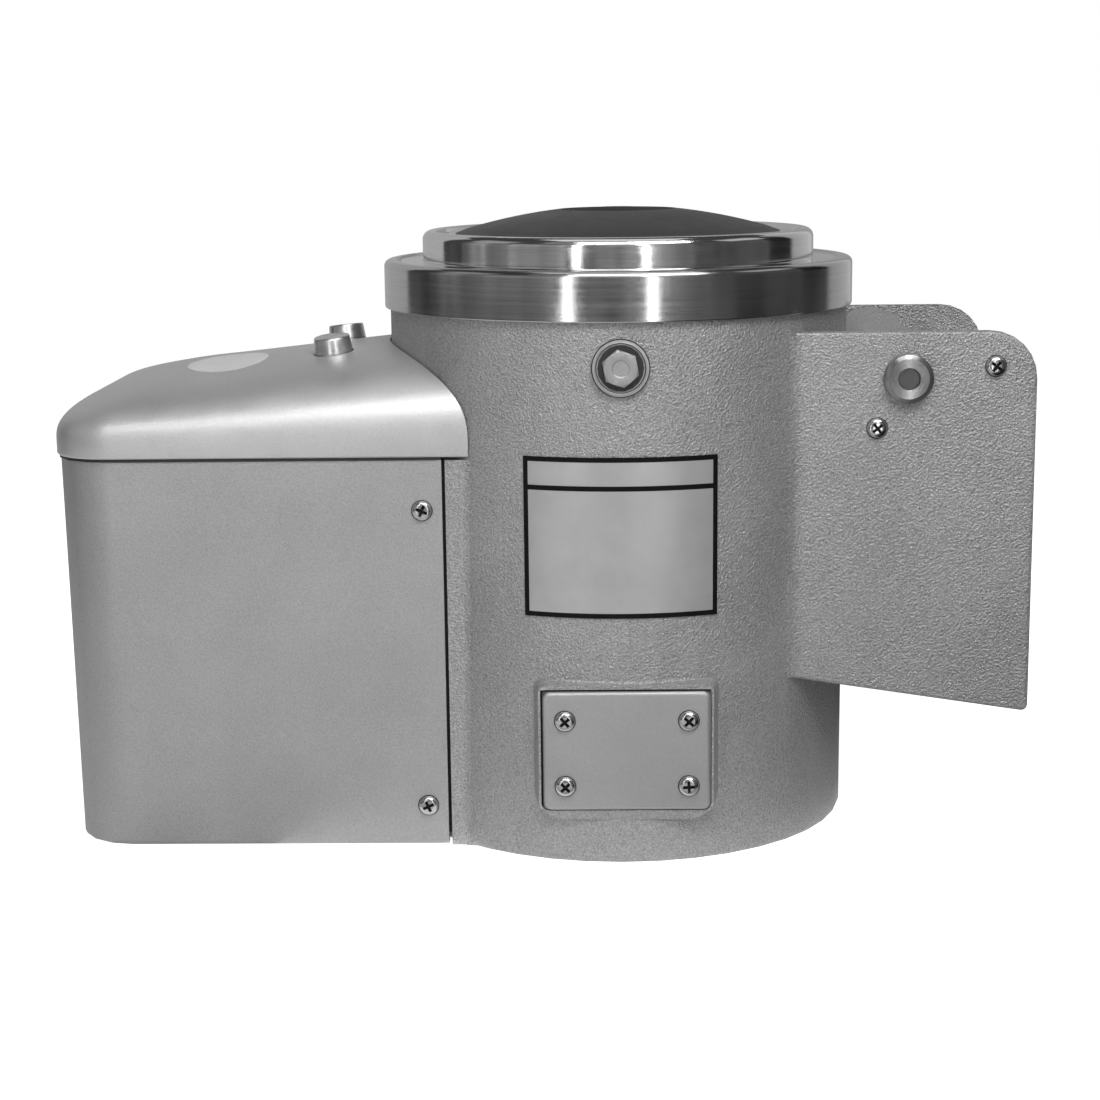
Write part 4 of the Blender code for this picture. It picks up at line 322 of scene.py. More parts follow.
@dataclass(frozen=True)
class TurnedFinish:
    """Metal turned or mopped on a lathe, with fine marks round its axis."""

    name: str
    centre: Vector
    axis: Vector
    colour: float = 0.72
    roughness: float = 0.17
    stretch: float = 0.55
    mark_size: float = 0.00035
    mark_depth: float = 0.00003
    warmth: float = 0.0

    def material(self) -> bpy.types.Material:
        """Builds the finish.

        Returns:
            The material.
        """
        sheet = Shading(self.name)
        turned = sheet.about(self.centre, self.axis, 1.0 / self.mark_size, 2.2)
        marks = sheet.noise(turned, 0, 1.0, 4.0, 0.65)
        bands = sheet.about(self.centre, self.axis, 0.12 / self.mark_size, 0.8)
        band = sheet.noise(bands, 0, 1.0, 2.0, 0.5)
        place = sheet.place()
        smear = sheet.noise(place, "Object", 0.03, 3.0, 0.6)
        dark, light = self.colour * 0.86, min(1.0, self.colour * 1.10)
        tint = (1.0 + self.warmth, 1.0, 1.0 - self.warmth)
        tone = sheet.tones(marks, "Fac", [(0.25, [dark * t for t in tint]), (0.75, [min(1.0, light * t) for t in tint])])
        sheet.join(tone, "Color", sheet.shader, "Base Color")
        low = sheet.span(band, "Fac", self.roughness * 0.75, self.roughness * 1.3)
        more = sheet.span(smear, "Fac", 0.85, 1.25)
        times = sheet.add("ShaderNodeMath", operation="MULTIPLY")
        sheet.join(low, 0, times, 0)
        sheet.join(more, 0, times, 1)
        sheet.join(times, 0, sheet.shader, "Roughness")
        relief = sheet.relief(marks, "Fac", self.mark_depth, 0.6)
        sheet.join(relief, 0, sheet.shader, "Normal")
        sheet.set(Metallic=1.0, Anisotropic=self.stretch, Anisotropic_Rotation=0.25)
        for letter, part in zip("XYZ", self.axis):
            if abs(part) < 0.99:
                continue
            tangent = sheet.add("ShaderNodeTangent", direction_type="RADIAL", axis=letter)
            sheet.join(tangent, 0, sheet.shader, "Tangent")
        return sheet.material


@dataclass(frozen=True)
class PlainMetalFinish:
    """Plated, ground or sheet metal: clouded sheen with light scratches."""

    name: str
    colour: tuple[float, float, float]
    roughness: float
    scratch: float = 0.0006
    depth: float = 0.00002

    def material(self) -> bpy.types.Material:
        """Builds the finish.

        Returns:
            The material.
        """
        sheet = Shading(self.name)
        place = sheet.place()
        cloud = sheet.noise(place, "Object", 0.012, 4.0, 0.6)
        fine = sheet.noise(place, "Object", self.scratch, 3.0, 0.6, 1.2)
        dark = [c * 0.85 for c in self.colour]
        light = [min(1.0, c * 1.08) for c in self.colour]
        tone = sheet.tones(cloud, "Fac", [(0.3, dark), (0.7, light)])
        sheet.join(tone, "Color", sheet.shader, "Base Color")
        rough = sheet.span(cloud, "Fac", self.roughness * 0.8, self.roughness * 1.25)
        sheet.join(rough, 0, sheet.shader, "Roughness")
        relief = sheet.relief(fine, "Fac", self.depth)
        sheet.join(relief, 0, sheet.shader, "Normal")
        sheet.set(Metallic=1.0)
        return sheet.material


@dataclass(frozen=True)
class MouldedFinish:
    """Rubber, plastic or enamel: a dark skin with a soft gloss and a fine moulded texture."""

    name: str
    colour: tuple[float, float, float]
    roughness: float
    texture_size: float = 0.0009
    texture_depth: float = 0.00004
    gloss: float = 0.5
    coat: float = 0.0

    def material(self) -> bpy.types.Material:
        """Builds the finish.

        Returns:
            The material.
        """
        sheet = Shading(self.name)
        place = sheet.place()
        bloom = sheet.noise(place, "Object", 0.035, 4.0, 0.62, 0.4)
        skin = sheet.noise(place, "Object", self.texture_size, 3.0, 0.6)
        dark = [c * 0.82 for c in self.colour]
        light = [min(1.0, c * 1.25) for c in self.colour]
        tone = sheet.tones(bloom, "Fac", [(0.3, dark), (0.72, light)])
        sheet.join(tone, "Color", sheet.shader, "Base Color")
        rough = sheet.span(bloom, "Fac", self.roughness - 0.05, self.roughness + 0.08)
        sheet.join(rough, 0, sheet.shader, "Roughness")
        relief = sheet.relief(skin, "Fac", self.texture_depth)
        sheet.join(relief, 0, sheet.shader, "Normal")
        sheet.set(Metallic=0.0, Specular_IOR_Level=self.gloss, Coat_Weight=self.coat)
        return sheet.material


@dataclass(frozen=True)
class GritFinish:
    """Bonded abrasive: sharp grains in a dark resin."""

    name: str
    grain_size: float = 0.0022
    depth: float = 0.0009

    def material(self) -> bpy.types.Material:
        """Builds the finish.

        Returns:
            The material.
        """
        sheet = Shading(self.name)
        place = sheet.place()
        grains = sheet.add("ShaderNodeTexVoronoi")
        grains.inputs["Scale"].default_value = 1.0 / self.grain_size
        sheet.join(place, "Object", grains, "Vector")
        spots = sheet.noise(place, "Object", self.grain_size * 1.6, 4.0, 0.7)
        tone = sheet.tones(spots, "Fac", [(0.30, (0.035, 0.033, 0.031)), (0.52, (0.10, 0.095, 0.088)), (0.70, (0.30, 0.29, 0.27))])
        sheet.join(tone, "Color", sheet.shader, "Base Color")
        first = sheet.relief(grains, "Distance", self.depth)
        second = sheet.relief(spots, "Fac", self.depth, 0.8, first)
        sheet.join(second, 0, sheet.shader, "Normal")
        sheet.set(Roughness=0.85, Metallic=0.0)
        return sheet.material


@dataclass(frozen=True)
class PrintedFoilFinish:
    """Printed foil: a flat tone with a faint brushed sheen."""

    name: str
    colour: tuple[float, float, float]
    metal: float
    roughness: float
    gloss: float = 0.5

    def material(self) -> bpy.types.Material:
        """Builds the finish.

        Returns:
            The material.
        """
        sheet = Shading(self.name)
        place = sheet.place()
        drawn = sheet.add("ShaderNodeMapping", vector_type="POINT")
        drawn.inputs["Scale"].default_value = (1.0, 1.0, 60.0)
        sheet.join(place, "Object", drawn, "Vector")
        lines = sheet.noise(drawn, 0, 0.02, 3.0, 0.6)
        cloud = sheet.noise(place, "Object", 0.02, 3.0, 0.6)
        dark = [c * 0.94 for c in self.colour]
        light = [min(1.0, c * 1.05) for c in self.colour]
        tone = sheet.tones(cloud, "Fac", [(0.3, dark), (0.7, light)])
        sheet.join(tone, "Color", sheet.shader, "Base Color")
        rough = sheet.span(lines, "Fac", self.roughness - 0.04, self.roughness + 0.04)
        sheet.join(rough, 0, sheet.shader, "Roughness")
        relief = sheet.relief(lines, "Fac", 0.00001)
        sheet.join(relief, 0, sheet.shader, "Normal")
        sheet.set(Metallic=self.metal, Specular_IOR_Level=self.gloss)
        return sheet.material


# ---------------------------------------------------------------------------------------------
# Shapes
# ---------------------------------------------------------------------------------------------


def arc(centre: Point, radius: float, start: float, end: float, steps: int = 8) -> list[Point]:
    """Points along an arc, its angles in degrees, both ends kept."""
    turns = [radians(start + (end - start) * step / steps) for step in range(steps + 1)]
    return [(centre[0] + radius * cos(turn), centre[1] + radius * sin(turn)) for turn in turns]


def mesh_piece(name: str, shape: bmesh.types.BMesh, smooth: float = 32.0) -> bpy.types.Object:
    """Makes a shown piece from a bmesh.

    Args:
        name: The piece's name.
        shape: Its mesh, which is freed.
        smooth: Edges sharper than this many degrees stay sharp.

    Returns:
        The object.
    """
    bmesh.ops.recalc_face_normals(shape, faces=shape.faces)
    mesh = bpy.data.meshes.new(name)
    shape.to_mesh(mesh)
    shape.free()
    mesh.shade_smooth()
    mesh.set_sharp_from_angle(angle=radians(smooth))
    piece = bpy.data.objects.new(name, mesh)
    bpy.context.scene.collection.objects.link(piece)
    return piece


def flat_faces(piece: bpy.types.Object) -> bpy.types.Object:
    """Keeps a piece's wide faces flat in the light, so that only its narrow edges look round."""
    weighted = piece.modifiers.new("flat_faces", "WEIGHTED_NORMAL")
    weighted.keep_sharp = True
    weighted.mode = "FACE_AREA"
    return piece


def turned_shape(outline: Sequence[Point], steps: int) -> bmesh.types.BMesh:
    """Turns a closed outline of (radius, height) points about Z.

    Args:
        outline: The points. A radius of zero is a point on the axis.
        steps: Divisions round the axis.

    Returns:
        The bmesh.
    """
    shape = bmesh.new()
    rows: list[list[bmesh.types.BMVert]] = []
    for radius, height in outline:
        if radius == 0:
            rows.append([shape.verts.new((0.0, 0.0, height))])
            continue
        turns = [2 * pi * step / steps for step in range(steps)]
        rows.append([shape.verts.new((radius * cos(t), radius * sin(t), height)) for t in turns])
    for first, second in zip(rows, rows[1:] + rows[:1]):
        if len(first) == 1 and len(second) == 1:
            continue
        for index in range(steps):
            after = (index + 1) % steps
            corners = [first[index % len(first)], first[after % len(first)],
                       second[after % len(second)], second[index % len(second)]]
            shape.faces.new(list(dict.fromkeys(corners)))
    return shape


def aimed(piece: bpy.types.Object, point: Vector, direction: Vector, turn: float = 0.0) -> bpy.types.Object:
    """Stands a piece at a point, its own +Z along a direction, and fixes its place in its mesh."""
    matrix = (Matrix.Translation(point) @ direction.to_track_quat("Z", "Y").to_matrix().to_4x4()
              @ Matrix.Rotation(turn, 4, "Z"))
    piece.data.transform(matrix)
    return piece


def faces_of(node: str, direction: Vector) -> tuple[Vector, float]:
    """Finds where a round CAD node's axis meets its outer face.

    Args:
        node: The node.
        direction: The way its outer face looks.

    Returns:
        The point on the axis, and the node's radius.
    """
    turn = direction.to_track_quat("Z", "Y").to_matrix()
    points = [turn.inverted() @ vertex.co for vertex in frame["nodes"][node].data.vertices]
    lows = [min(point[i] for point in points) for i in range(3)]
    highs = [max(point[i] for point in points) for i in range(3)]
    middle = Vector(((lows[0] + highs[0]) / 2, (lows[1] + highs[1]) / 2, highs[2]))
    return turn @ middle, max(highs[0] - lows[0], highs[1] - lows[1]) / 2


def dress(piece: bpy.types.Object, finish: bpy.types.Material, body: str,
          nodes: Iterable[str] = ()) -> bpy.types.Object:
    """Gives a piece its finish, its body and the nodes that it stands for.

    Args:
        piece: The new piece.
        finish: Its material, unless it already carries its own.
        body: The CAD body that it moves with.
        nodes: CAD nodes that it replaces.

    Returns:
        The piece.
    """
    if not piece.data.materials:
        piece.data.materials.append(finish)
    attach(piece, body)
    nodes = list(nodes)
    if nodes:
        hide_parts(*nodes)
    log.info("%s rides on %s%s", piece.name, body, f" for {', '.join(nodes)}" if nodes else "")
    return piece


# ---------------------------------------------------------------------------------------------
# Sub-assemblies
# ---------------------------------------------------------------------------------------------


@dataclass
class Castings:
    """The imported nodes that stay: even shading over their facets, and a finish for each."""

    finishes: dict[str, bpy.types.Material]
    weld: float = 0.000004
    sharp_over: float = 42.0
    softened: dict[str, float] = field(default_factory=lambda: {"access_plate": 0.0021})
    group: bpy.types.NodeTree | None = field(default=None, init=False)

    def even_shading(self) -> bpy.types.NodeTree:
        """Builds the modifier that welds a node's facets and shades the round ones smooth.

        Returns:
            The node group.
        """
        tree = bpy.data.node_groups.new("even_shading", "GeometryNodeTree")
        tree.is_modifier = True
        tree.interface.new_socket("Geometry", in_out="INPUT", socket_type="NodeSocketGeometry")
        tree.interface.new_socket("Geometry", in_out="OUTPUT", socket_type="NodeSocketGeometry")
        start = tree.nodes.new("NodeGroupInput")
        end = tree.nodes.new("NodeGroupOutput")
        forget = tree.nodes.new("GeometryNodeRemoveAttribute")
        forget.inputs["Name"].default_value = "custom_normal"
        weld = tree.nodes.new("GeometryNodeMergeByDistance")
        weld.inputs["Distance"].default_value = self.weld
        round_faces = tree.nodes.new("GeometryNodeSetShadeSmooth")
        round_faces.domain = "FACE"
        edges = tree.nodes.new("GeometryNodeSetShadeSmooth")
        edges.domain = "EDGE"
        angle = tree.nodes.new("GeometryNodeInputMeshEdgeAngle")
        compare = tree.nodes.new("FunctionNodeCompare")
        compare.data_type = "FLOAT"
        compare.operation = "LESS_THAN"
        compare.inputs[1].default_value = radians(self.sharp_over)
        links = tree.links
        links.new(start.outputs[0], forget.inputs["Geometry"])
        links.new(forget.outputs["Geometry"], weld.inputs["Geometry"])
        links.new(weld.outputs["Geometry"], round_faces.inputs["Geometry"])
        links.new(round_faces.outputs["Geometry"], edges.inputs["Geometry"])
        links.new(angle.outputs["Unsigned Angle"], compare.inputs[0])
        links.new(compare.outputs[0], edges.inputs["Shade Smooth"])
        links.new(edges.outputs["Geometry"], end.inputs[0])
        return tree

    def finish_node(self, name: str) -> None:
        """Shades one node evenly and gives it its finish."""
        node = frame["nodes"][name]
        node.data.materials.clear()
        node.data.materials.append(self.finishes[name])
        if name in self.softened:
            weld = node.modifiers.new("welded_faces", "WELD")
            weld.merge_threshold = self.weld
            soft = node.modifiers.new("soft_edges", "BEVEL")
            soft.width = self.softened[name]
            soft.segments = 4
            soft.limit_method = "ANGLE"
            soft.angle_limit = radians(50)
        modifier = node.modifiers.new("even_shading", "NODES")
        modifier.node_group = self.group
        weighted = node.modifiers.new("flat_faces", "WEIGHTED_NORMAL")
        weighted.keep_sharp = True
        weighted.mode = "FACE_AREA"

    def build(self) -> None:
        """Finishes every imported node."""
        self.group = self.even_shading()
        for name in sorted(frame["nodes"]):
            self.finish_node(name)
        log.info("finished %d packed nodes", len(frame["nodes"]))


@dataclass
class PolishedTop:
    """The rim, the spun cover and the rubber lid, turned finely about the drum's axis."""

    rim_finish: bpy.types.Material
    cover_finish: bpy.types.Material
    lid_finish: bpy.types.Material
    crown_painted_shade: bpy.types.Material
    steps: int = 180
    rim_radius: float = 0.1665
    rim_edge: float = 0.0045
    rim_foot: float = 0.0012
    rim_lip_radius: float = 0.1555
    rim_lip_slope: float = 0.0025
    rim_ledge: float = 0.0040
    rim_bore: float = 0.1500
    drum_radius: float = 0.1633
    drum_top: float = 0.3903
    cover_flange: float = 0.1550
    cover_flange_thickness: float = 0.0028
    cover_radius: float = 0.1389
    cover_top: float = 0.4190
    cover_roll: float = 0.0062
    cover_wall: float = 0.0040
    cover_dish_radius: float = 0.1262
    cover_dish: float = 0.0038
    cover_spigot: float = 0.0065
    feed_radius: float = 0.1050
    clearance: float = 0.0003
    lid_radius: float = 0.1160
    lid_lip: float = 0.0012
    lid_crown: float = 0.0194
    lid_dome_radius: float = 0.3750
    lid_thickness: float = 0.0050
    lid_spigot: float = 0.1044
    lid_spigot_wall: float = 0.0070
    lid_spigot_depth: float = 0.0072
    badge_radius: float = 0.0410
    badge_depth: float = 0.0009

    def on_axis(self, piece: bpy.types.Object) -> bpy.types.Object:
        """Stands a turned piece on the drum's axis."""
        low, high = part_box("rim_ring")
        piece.data.transform(Matrix.Translation(((low.x + high.x) / 2, (low.y + high.y) / 2, 0.0)))
        return piece

    def rim(self) -> bpy.types.Object:
        """The polished rim."""
        low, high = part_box("rim_ring")
        ledge = high.z - self.rim_ledge
        edge = self.rim_edge
        outline = [(self.rim_lip_radius, ledge), (self.rim_lip_radius + self.rim_lip_slope * 0.9, high.z - 0.0003),
                   (self.rim_lip_radius + self.rim_lip_slope, high.z)]
        outline += arc((self.rim_radius - edge, high.z - edge), edge, 90, 0, 10)
        outline += arc((self.rim_radius - self.rim_foot, low.z + self.rim_foot), self.rim_foot, 0, -90, 4)
        outline += [(self.drum_radius, low.z), (self.drum_radius, self.drum_top), (self.rim_bore, self.drum_top),
                    (self.rim_bore, ledge)]
        piece = self.on_axis(flat_faces(mesh_piece("rim_polished", turned_shape(outline, self.steps))))
        return dress(piece, self.rim_finish, "machine", ["rim_ring"])

    def cover(self) -> bpy.types.Object:
        """The spun cover."""
        low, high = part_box("top_cover")
        seat = low.z + self.cover_spigot
        flange = seat + self.cover_flange_thickness
        dish = high.z - self.cover_dish
        roll = self.cover_roll
        inner = self.cover_radius - self.cover_wall
        spigot = self.rim_bore - self.clearance
        outline = [(self.cover_flange, seat), (self.cover_flange, flange - 0.0005), (self.cover_flange - 0.0005, flange),
                   (self.cover_radius + 0.0012, flange), (self.cover_radius + 0.0003, flange + 0.0004),
                   (self.cover_radius, flange + 0.0014)]
        outline += arc((self.cover_radius - roll, high.z - roll), roll, 0, 125, 14)
        bead = arc((self.cover_dish_radius + 0.0015, dish + 0.0016), 0.0016, -60, -90, 3)
        outline += [*bead, (self.feed_radius + 0.0005, dish), (self.feed_radius, dish - 0.0005),
                    (self.feed_radius, dish - self.cover_wall), (inner, dish - self.cover_wall), (inner, seat),
                    (spigot - self.cover_wall, seat), (spigot - self.cover_wall, low.z), (spigot, low.z), (spigot, seat)]
        piece = self.on_axis(flat_faces(mesh_piece("cover_spun", turned_shape(outline, self.steps))))
        return dress(piece, self.cover_finish, "cover", ["top_cover"])

    def dome(self, radius: float) -> float:
        """Height of the lid's dome over its seat."""
        return self.lid_crown - radius ** 2 / (2 * self.lid_dome_radius)

    def lid(self) -> bpy.types.Object:
        """The domed lid, with the smooth round recess at its crown."""
        low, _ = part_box("rubber_lid")
        seat = low.z + self.lid_spigot_depth
        inside = self.lid_spigot - self.lid_spigot_wall
        badge = self.badge_radius
        outline = [(0, seat + self.lid_crown - self.badge_depth)]
        outline += [(badge * share, seat + self.dome(badge * share) - self.badge_depth) for share in (0.35, 0.7, 0.96)]
        outline += [(badge, seat + self.dome(badge) - self.badge_depth * 0.8), (badge + 0.0006, seat + self.dome(badge) - 0.0001)]
        start, end = badge + 0.0012, self.lid_radius - self.lid_lip
        outline += [(radius, seat + self.dome(radius)) for radius in (start + (end - start) * share / 9 for share in range(9))]
        outline += arc((end, seat + self.lid_lip / 2), self.lid_lip / 2, 90, 0, 4)
        outline += [(self.lid_radius - self.lid_lip / 2, seat), (self.lid_spigot, seat), (self.lid_spigot, low.z),
                    (inside, low.z), (inside, seat + self.dome(inside) - self.lid_thickness)]
        outline += [(inside * share, seat + self.dome(inside * share) - self.lid_thickness) for share in (0.66, 0.33)]
        outline += [(0, seat + self.lid_crown - self.lid_thickness)]
        piece = self.on_axis(mesh_piece("lid_domed", turned_shape(outline, self.steps)))
        piece.data.materials.append(self.lid_finish)
        piece.data.materials.append(self.crown_painted_shade)
        middle = sum((Vector(corner) for corner in piece.bound_box), Vector()) / 8
        # Upward faces of the crown's shallow recess take a near-black finish: painted shade on the same rubber.
        for face in piece.data.polygons:
            away = hypot(face.center.x - middle.x, face.center.y - middle.y)
            if away < badge and face.normal.z > 0.5 and face.center.z > seat + self.lid_thickness:
                face.material_index = 1
        return dress(piece, self.lid_finish, "lid", ["rubber_lid"])

    def build(self) -> None:
        """Makes the three turned pieces."""
        self.rim()
        self.cover()
        self.lid()


@dataclass
class AccessGapShade:
    """A near-black strip of painted shade in the wide gap at the left of the access plate and above it."""

    finish: bpy.types.Material
    gap: Point = (0.0012, 0.0011)
    set_back: float = 0.0022
    floor: float = 0.0047
    spare: float = 0.0001

    def build(self) -> bpy.types.Object:
        """Makes the strip of painted shade, mitred at its corner.

        Returns:
            The strip.
        """
        low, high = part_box("access_plate")
        left, top = low.x - self.gap[0], high.z + self.gap[1]
        inner_left, inner_top = low.x - self.spare, high.z + self.spare
        plan = ((left, low.z), (left, top), (high.x, top), (high.x, inner_top), (inner_left, inner_top), (inner_left, low.z))
        shape = bmesh.new()
        front, back = ([shape.verts.new((x, low.y + depth, z)) for x, z in plan] for depth in (self.set_back, self.floor))
        for side in (front, back):
            shape.faces.new(side)
        for index in range(len(plan)):
            after = (index + 1) % len(plan)
            shape.faces.new((front[index], front[after], back[after], back[index]))
        return dress(mesh_piece("access_gap_shade", shape), self.finish, "machine")


@dataclass
class CasingGapShades:
    """Near-black strips of painted shade in the upright gaps between the motor casing and the drum's wings."""

    finish: bpy.types.Material
    foot: float = 0.0090
    wing_gap: float = 0.0023
    lean: float = 0.0037
    set_back: float = 0.0016
    depth: float = 0.0040
    round_edge: float = 0.0004
    spare: float = 0.0001

    def shade_strip(self, side: Side) -> bpy.types.Object:
        """One strip of painted shade, leaning as the casing's face does.

        Args:
            side: The side of the machine.

        Returns:
            The strip.
        """
        low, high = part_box("motor_casing")
        left, right = high.x + self.spare, high.x + self.wing_gap - self.spare
        edge = self.round_edge
        section = ((left, self.depth), (left, self.set_back + edge), (left + edge, self.set_back),
                   (right - edge, self.set_back), (right, self.set_back + edge), (right, self.depth))
        shape = bmesh.new()
        rows = []
        for z, lean in ((self.foot, self.lean), (high.z, 0.0)):
            face = low.y + lean
            across = [face + back for _, back in section]
            if side is Side.FAR:
                across = [low.y + high.y - y for y in across]
            rows.append([shape.verts.new((x, y, z)) for (x, _), y in zip(section, across)])
        for row in rows:
            shape.faces.new(row)
        for index in range(len(section)):
            after = (index + 1) % len(section)
            shape.faces.new((rows[0][index], rows[0][after], rows[1][after], rows[1][index]))
        return dress(mesh_piece(f"casing_gap_shade_{side.name.lower()}", shape), self.finish, "machine")

    def build(self) -> None:
        """Makes both strips of painted shade."""
        for side in Side:
            self.shade_strip(side)


@dataclass
class MotorCap:
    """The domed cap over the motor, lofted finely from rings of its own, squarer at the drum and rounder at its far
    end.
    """

    finish: bpy.types.Material
    left: float = -0.3878
    right: float = -0.0850
    bottom: float = 0.2735
    rim: float = 0.0110
    lip: float = 0.0016
    half_width: float = 0.1278
    corner: float = 0.0430
    end_shoulder: float = 0.1050
    ridge: float = 0.3424
    fall: float = 0.0222
    power: float = 2.5
    end_power: float = 1.85
    side_steps: int = 20
    wall: float = 0.0036
    drum_radius: float = 0.1636
    button_hole: float = 0.0143
    rings: int = 44
    corner_steps: int = 18
    crest: float = 89.0

    def ridge_height(self, x: float) -> float:
        """Height of the cap along its middle, which falls away from the drum."""
        return self.ridge - self.fall * (x + 0.1630) / (self.left + 0.1630)

    def ring(self, turn: float, inset: float) -> list[tuple[float, float, float]]:
        """One ring of the dome, squarer at the drum and rounder at the far end.

        Args:
            turn: Angle in degrees, from 0 at the rim to 90 on the ridge.
            inset: How far inside the outer skin.

        Returns:
            The ring's points, each with its share of the rise as the third number.
        """
        def width(power: float) -> float:
            """Share of the full width that the ring keeps."""
            return cos(radians(turn)) ** (2 / power)

        rise = sin(radians(turn)) ** (2 / self.power)
        half = max((self.half_width - inset) * width(self.end_power), 0.004)
        left = self.left + inset + self.end_shoulder * (1 - width(self.power))
        radius = min(self.corner - inset, half)
        start = left + radius
        side = []
        for step in range(1, self.side_steps + 1):
            along = step / self.side_steps
            eased = min(1.0, along * 1.5)
            squarer = self.end_power + (self.power - self.end_power) * eased * eased * (3 - 2 * eased)
            side.append((start + (self.right - start) * along, max((self.half_width - inset) * width(squarer), 0.004)))
        back = [(x, y, rise) for x, y in arc((start, half - radius), radius, 90, 180, self.corner_steps)]
        front = [(x, y, rise) for x, y in arc((start, radius - half), radius, 180, 270, self.corner_steps)]
        far = [(x, y, rise) for x, y in reversed(side)]
        return [*back, *front, *[(x, -y, rise) for x, y in side], *far]

    def loft(self, name: str, inset: float, bottom: float, lip: float) -> bpy.types.Object:
        """A closed dome from its lower edge to its ridge.

        Args:
            name: The piece's name.
            inset: How far inside the outer skin it runs.
            bottom: Height of its lower edge.
            lip: Radius that rounds the lower edge.

        Returns:
            The dome.
        """
        shoulder = self.bottom + self.rim
        rows = []
        for turn in (90, 60, 30, 0) if lip else (0,):
            drawn, height = lip * (1 - cos(radians(turn))), bottom + lip * (1 - sin(radians(turn)))
            rows.append([(x, y, height) for x, y, _ in self.ring(0.0, inset + drawn)])
        for ring in range(self.rings + 1):
            rows.append([(x, y, shoulder + (self.ridge_height(x) - inset - shoulder) * rise)
                         for x, y, rise in self.ring(self.crest * ring / self.rings, inset)])
        shape = bmesh.new()
        grid = [[shape.verts.new(point) for point in row] for row in rows]
        for first, second in zip(grid, grid[1:]):
            for index in range(len(first)):
                after = (index + 1) % len(first)
                shape.faces.new((first[index], first[after], second[after], second[index]))
        shape.faces.new(list(reversed(grid[0])))
        shape.faces.new(grid[-1])
        return mesh_piece(name, shape, 40)

    def build(self) -> bpy.types.Object:
        """Lofts the cap, hollows it, and cuts it to the drum and the two buttons.

        Returns:
            The cap.
        """
        low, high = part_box("rim_ring")
        axis = Matrix.Translation(((low.x + high.x) / 2, (low.y + high.y) / 2, 0.0))
        cap = self.loft("cap_domed", 0.0, self.bottom, self.lip)
        cutters = [self.loft("cap_inside", self.wall, self.bottom - 0.004, 0.0)]
        tube = [(0, 0.2), (self.drum_radius, 0.2), (self.drum_radius, 0.4), (0, 0.4)]
        cutters.append(mesh_piece("cap_relief", turned_shape(tube, 180)))
        for piece in (cap, *cutters):
            piece.data.transform(axis)
        for name, joint in (("start_button", "start_press"), ("stop_button", "stop_press")):
            way = -Vector(next(row["axis"] for row in frame["joints"] if row["name"] == joint)).normalized()
            outer, _ = faces_of(name, way)
            hole = [(0, 0.002), (self.button_hole, 0.002), (self.button_hole, -0.018), (0, -0.018)]
            cutters.append(aimed(mesh_piece(f"{name}_way", turned_shape(hole, 96)), outer, way))
        for cutter in cutters:
            cut = cap.modifiers.new(cutter.name, "BOOLEAN")
            cut.object = cutter
            cut.operation = "DIFFERENCE"
            cut.solver = "EXACT"
        graph = bpy.context.evaluated_depsgraph_get()
        mesh = bpy.data.meshes.new_from_object(cap.evaluated_get(graph), depsgraph=graph)
        for spare in (cap, *cutters):
            bpy.data.objects.remove(spare, do_unlink=True)
        piece = bpy.data.objects.new("cap_domed", mesh)
        bpy.context.scene.collection.objects.link(piece)
        mesh.materials.clear()
        mesh.shade_smooth()
        mesh.set_sharp_from_angle(angle=radians(40))
        return dress(piece, self.finish, "machine", ["motor_cap"])


@dataclass
class PushButtons:
    """The two turned push buttons on the motor's cap."""

    make_finish: Callable[[str, Vector, Vector], bpy.types.Material]
    steps: int = 96
    base_radius: float = 0.0137
    top_radius: float = 0.0127
    height: float = 0.0110
    edge: float = 0.0014
    dish: float = 0.0003
    skirt: float = 0.0080
    stem_radius: float = 0.0050
    stem_depth: float = 0.0220

    def button(self, name: str, joint: str) -> bpy.types.Object:
        """One button, aimed along its joint.

        Args:
            name: The button's node, which is also its body's name with _button after it.
            joint: Its joint.

        Returns:
            The piece.
        """
        axis = next(row["axis"] for row in frame["joints"] if row["name"] == joint)
        direction = -Vector(axis).normalized()
        outer, _ = faces_of(name, direction)
        seat = outer - direction * self.height
        top = self.top_radius - self.edge
        outline = [(0, self.height - self.dish), (top - 0.0012, self.height - self.dish), (top - 0.0002, self.height - 0.00005)]
        outline += arc((top, self.height - self.edge), self.edge, 88, 5, 8)
        outline += [(self.base_radius, 0.0004), (self.base_radius - 0.0003, 0), (self.base_radius - 0.0003, -self.skirt),
                    (self.stem_radius, -self.skirt), (self.stem_radius, -self.stem_depth), (0, -self.stem_depth)]
        piece = aimed(mesh_piece(f"{name}_turned", turned_shape(outline, self.steps)), seat, direction)
        finish = self.make_finish(f"{name}_finish", seat, direction)
        return dress(piece, finish, name.removesuffix("_button"), [name])

    def build(self) -> None:
        """Makes both buttons."""
        self.button("start_button", "start_press")
        self.button("stop_button", "stop_press")


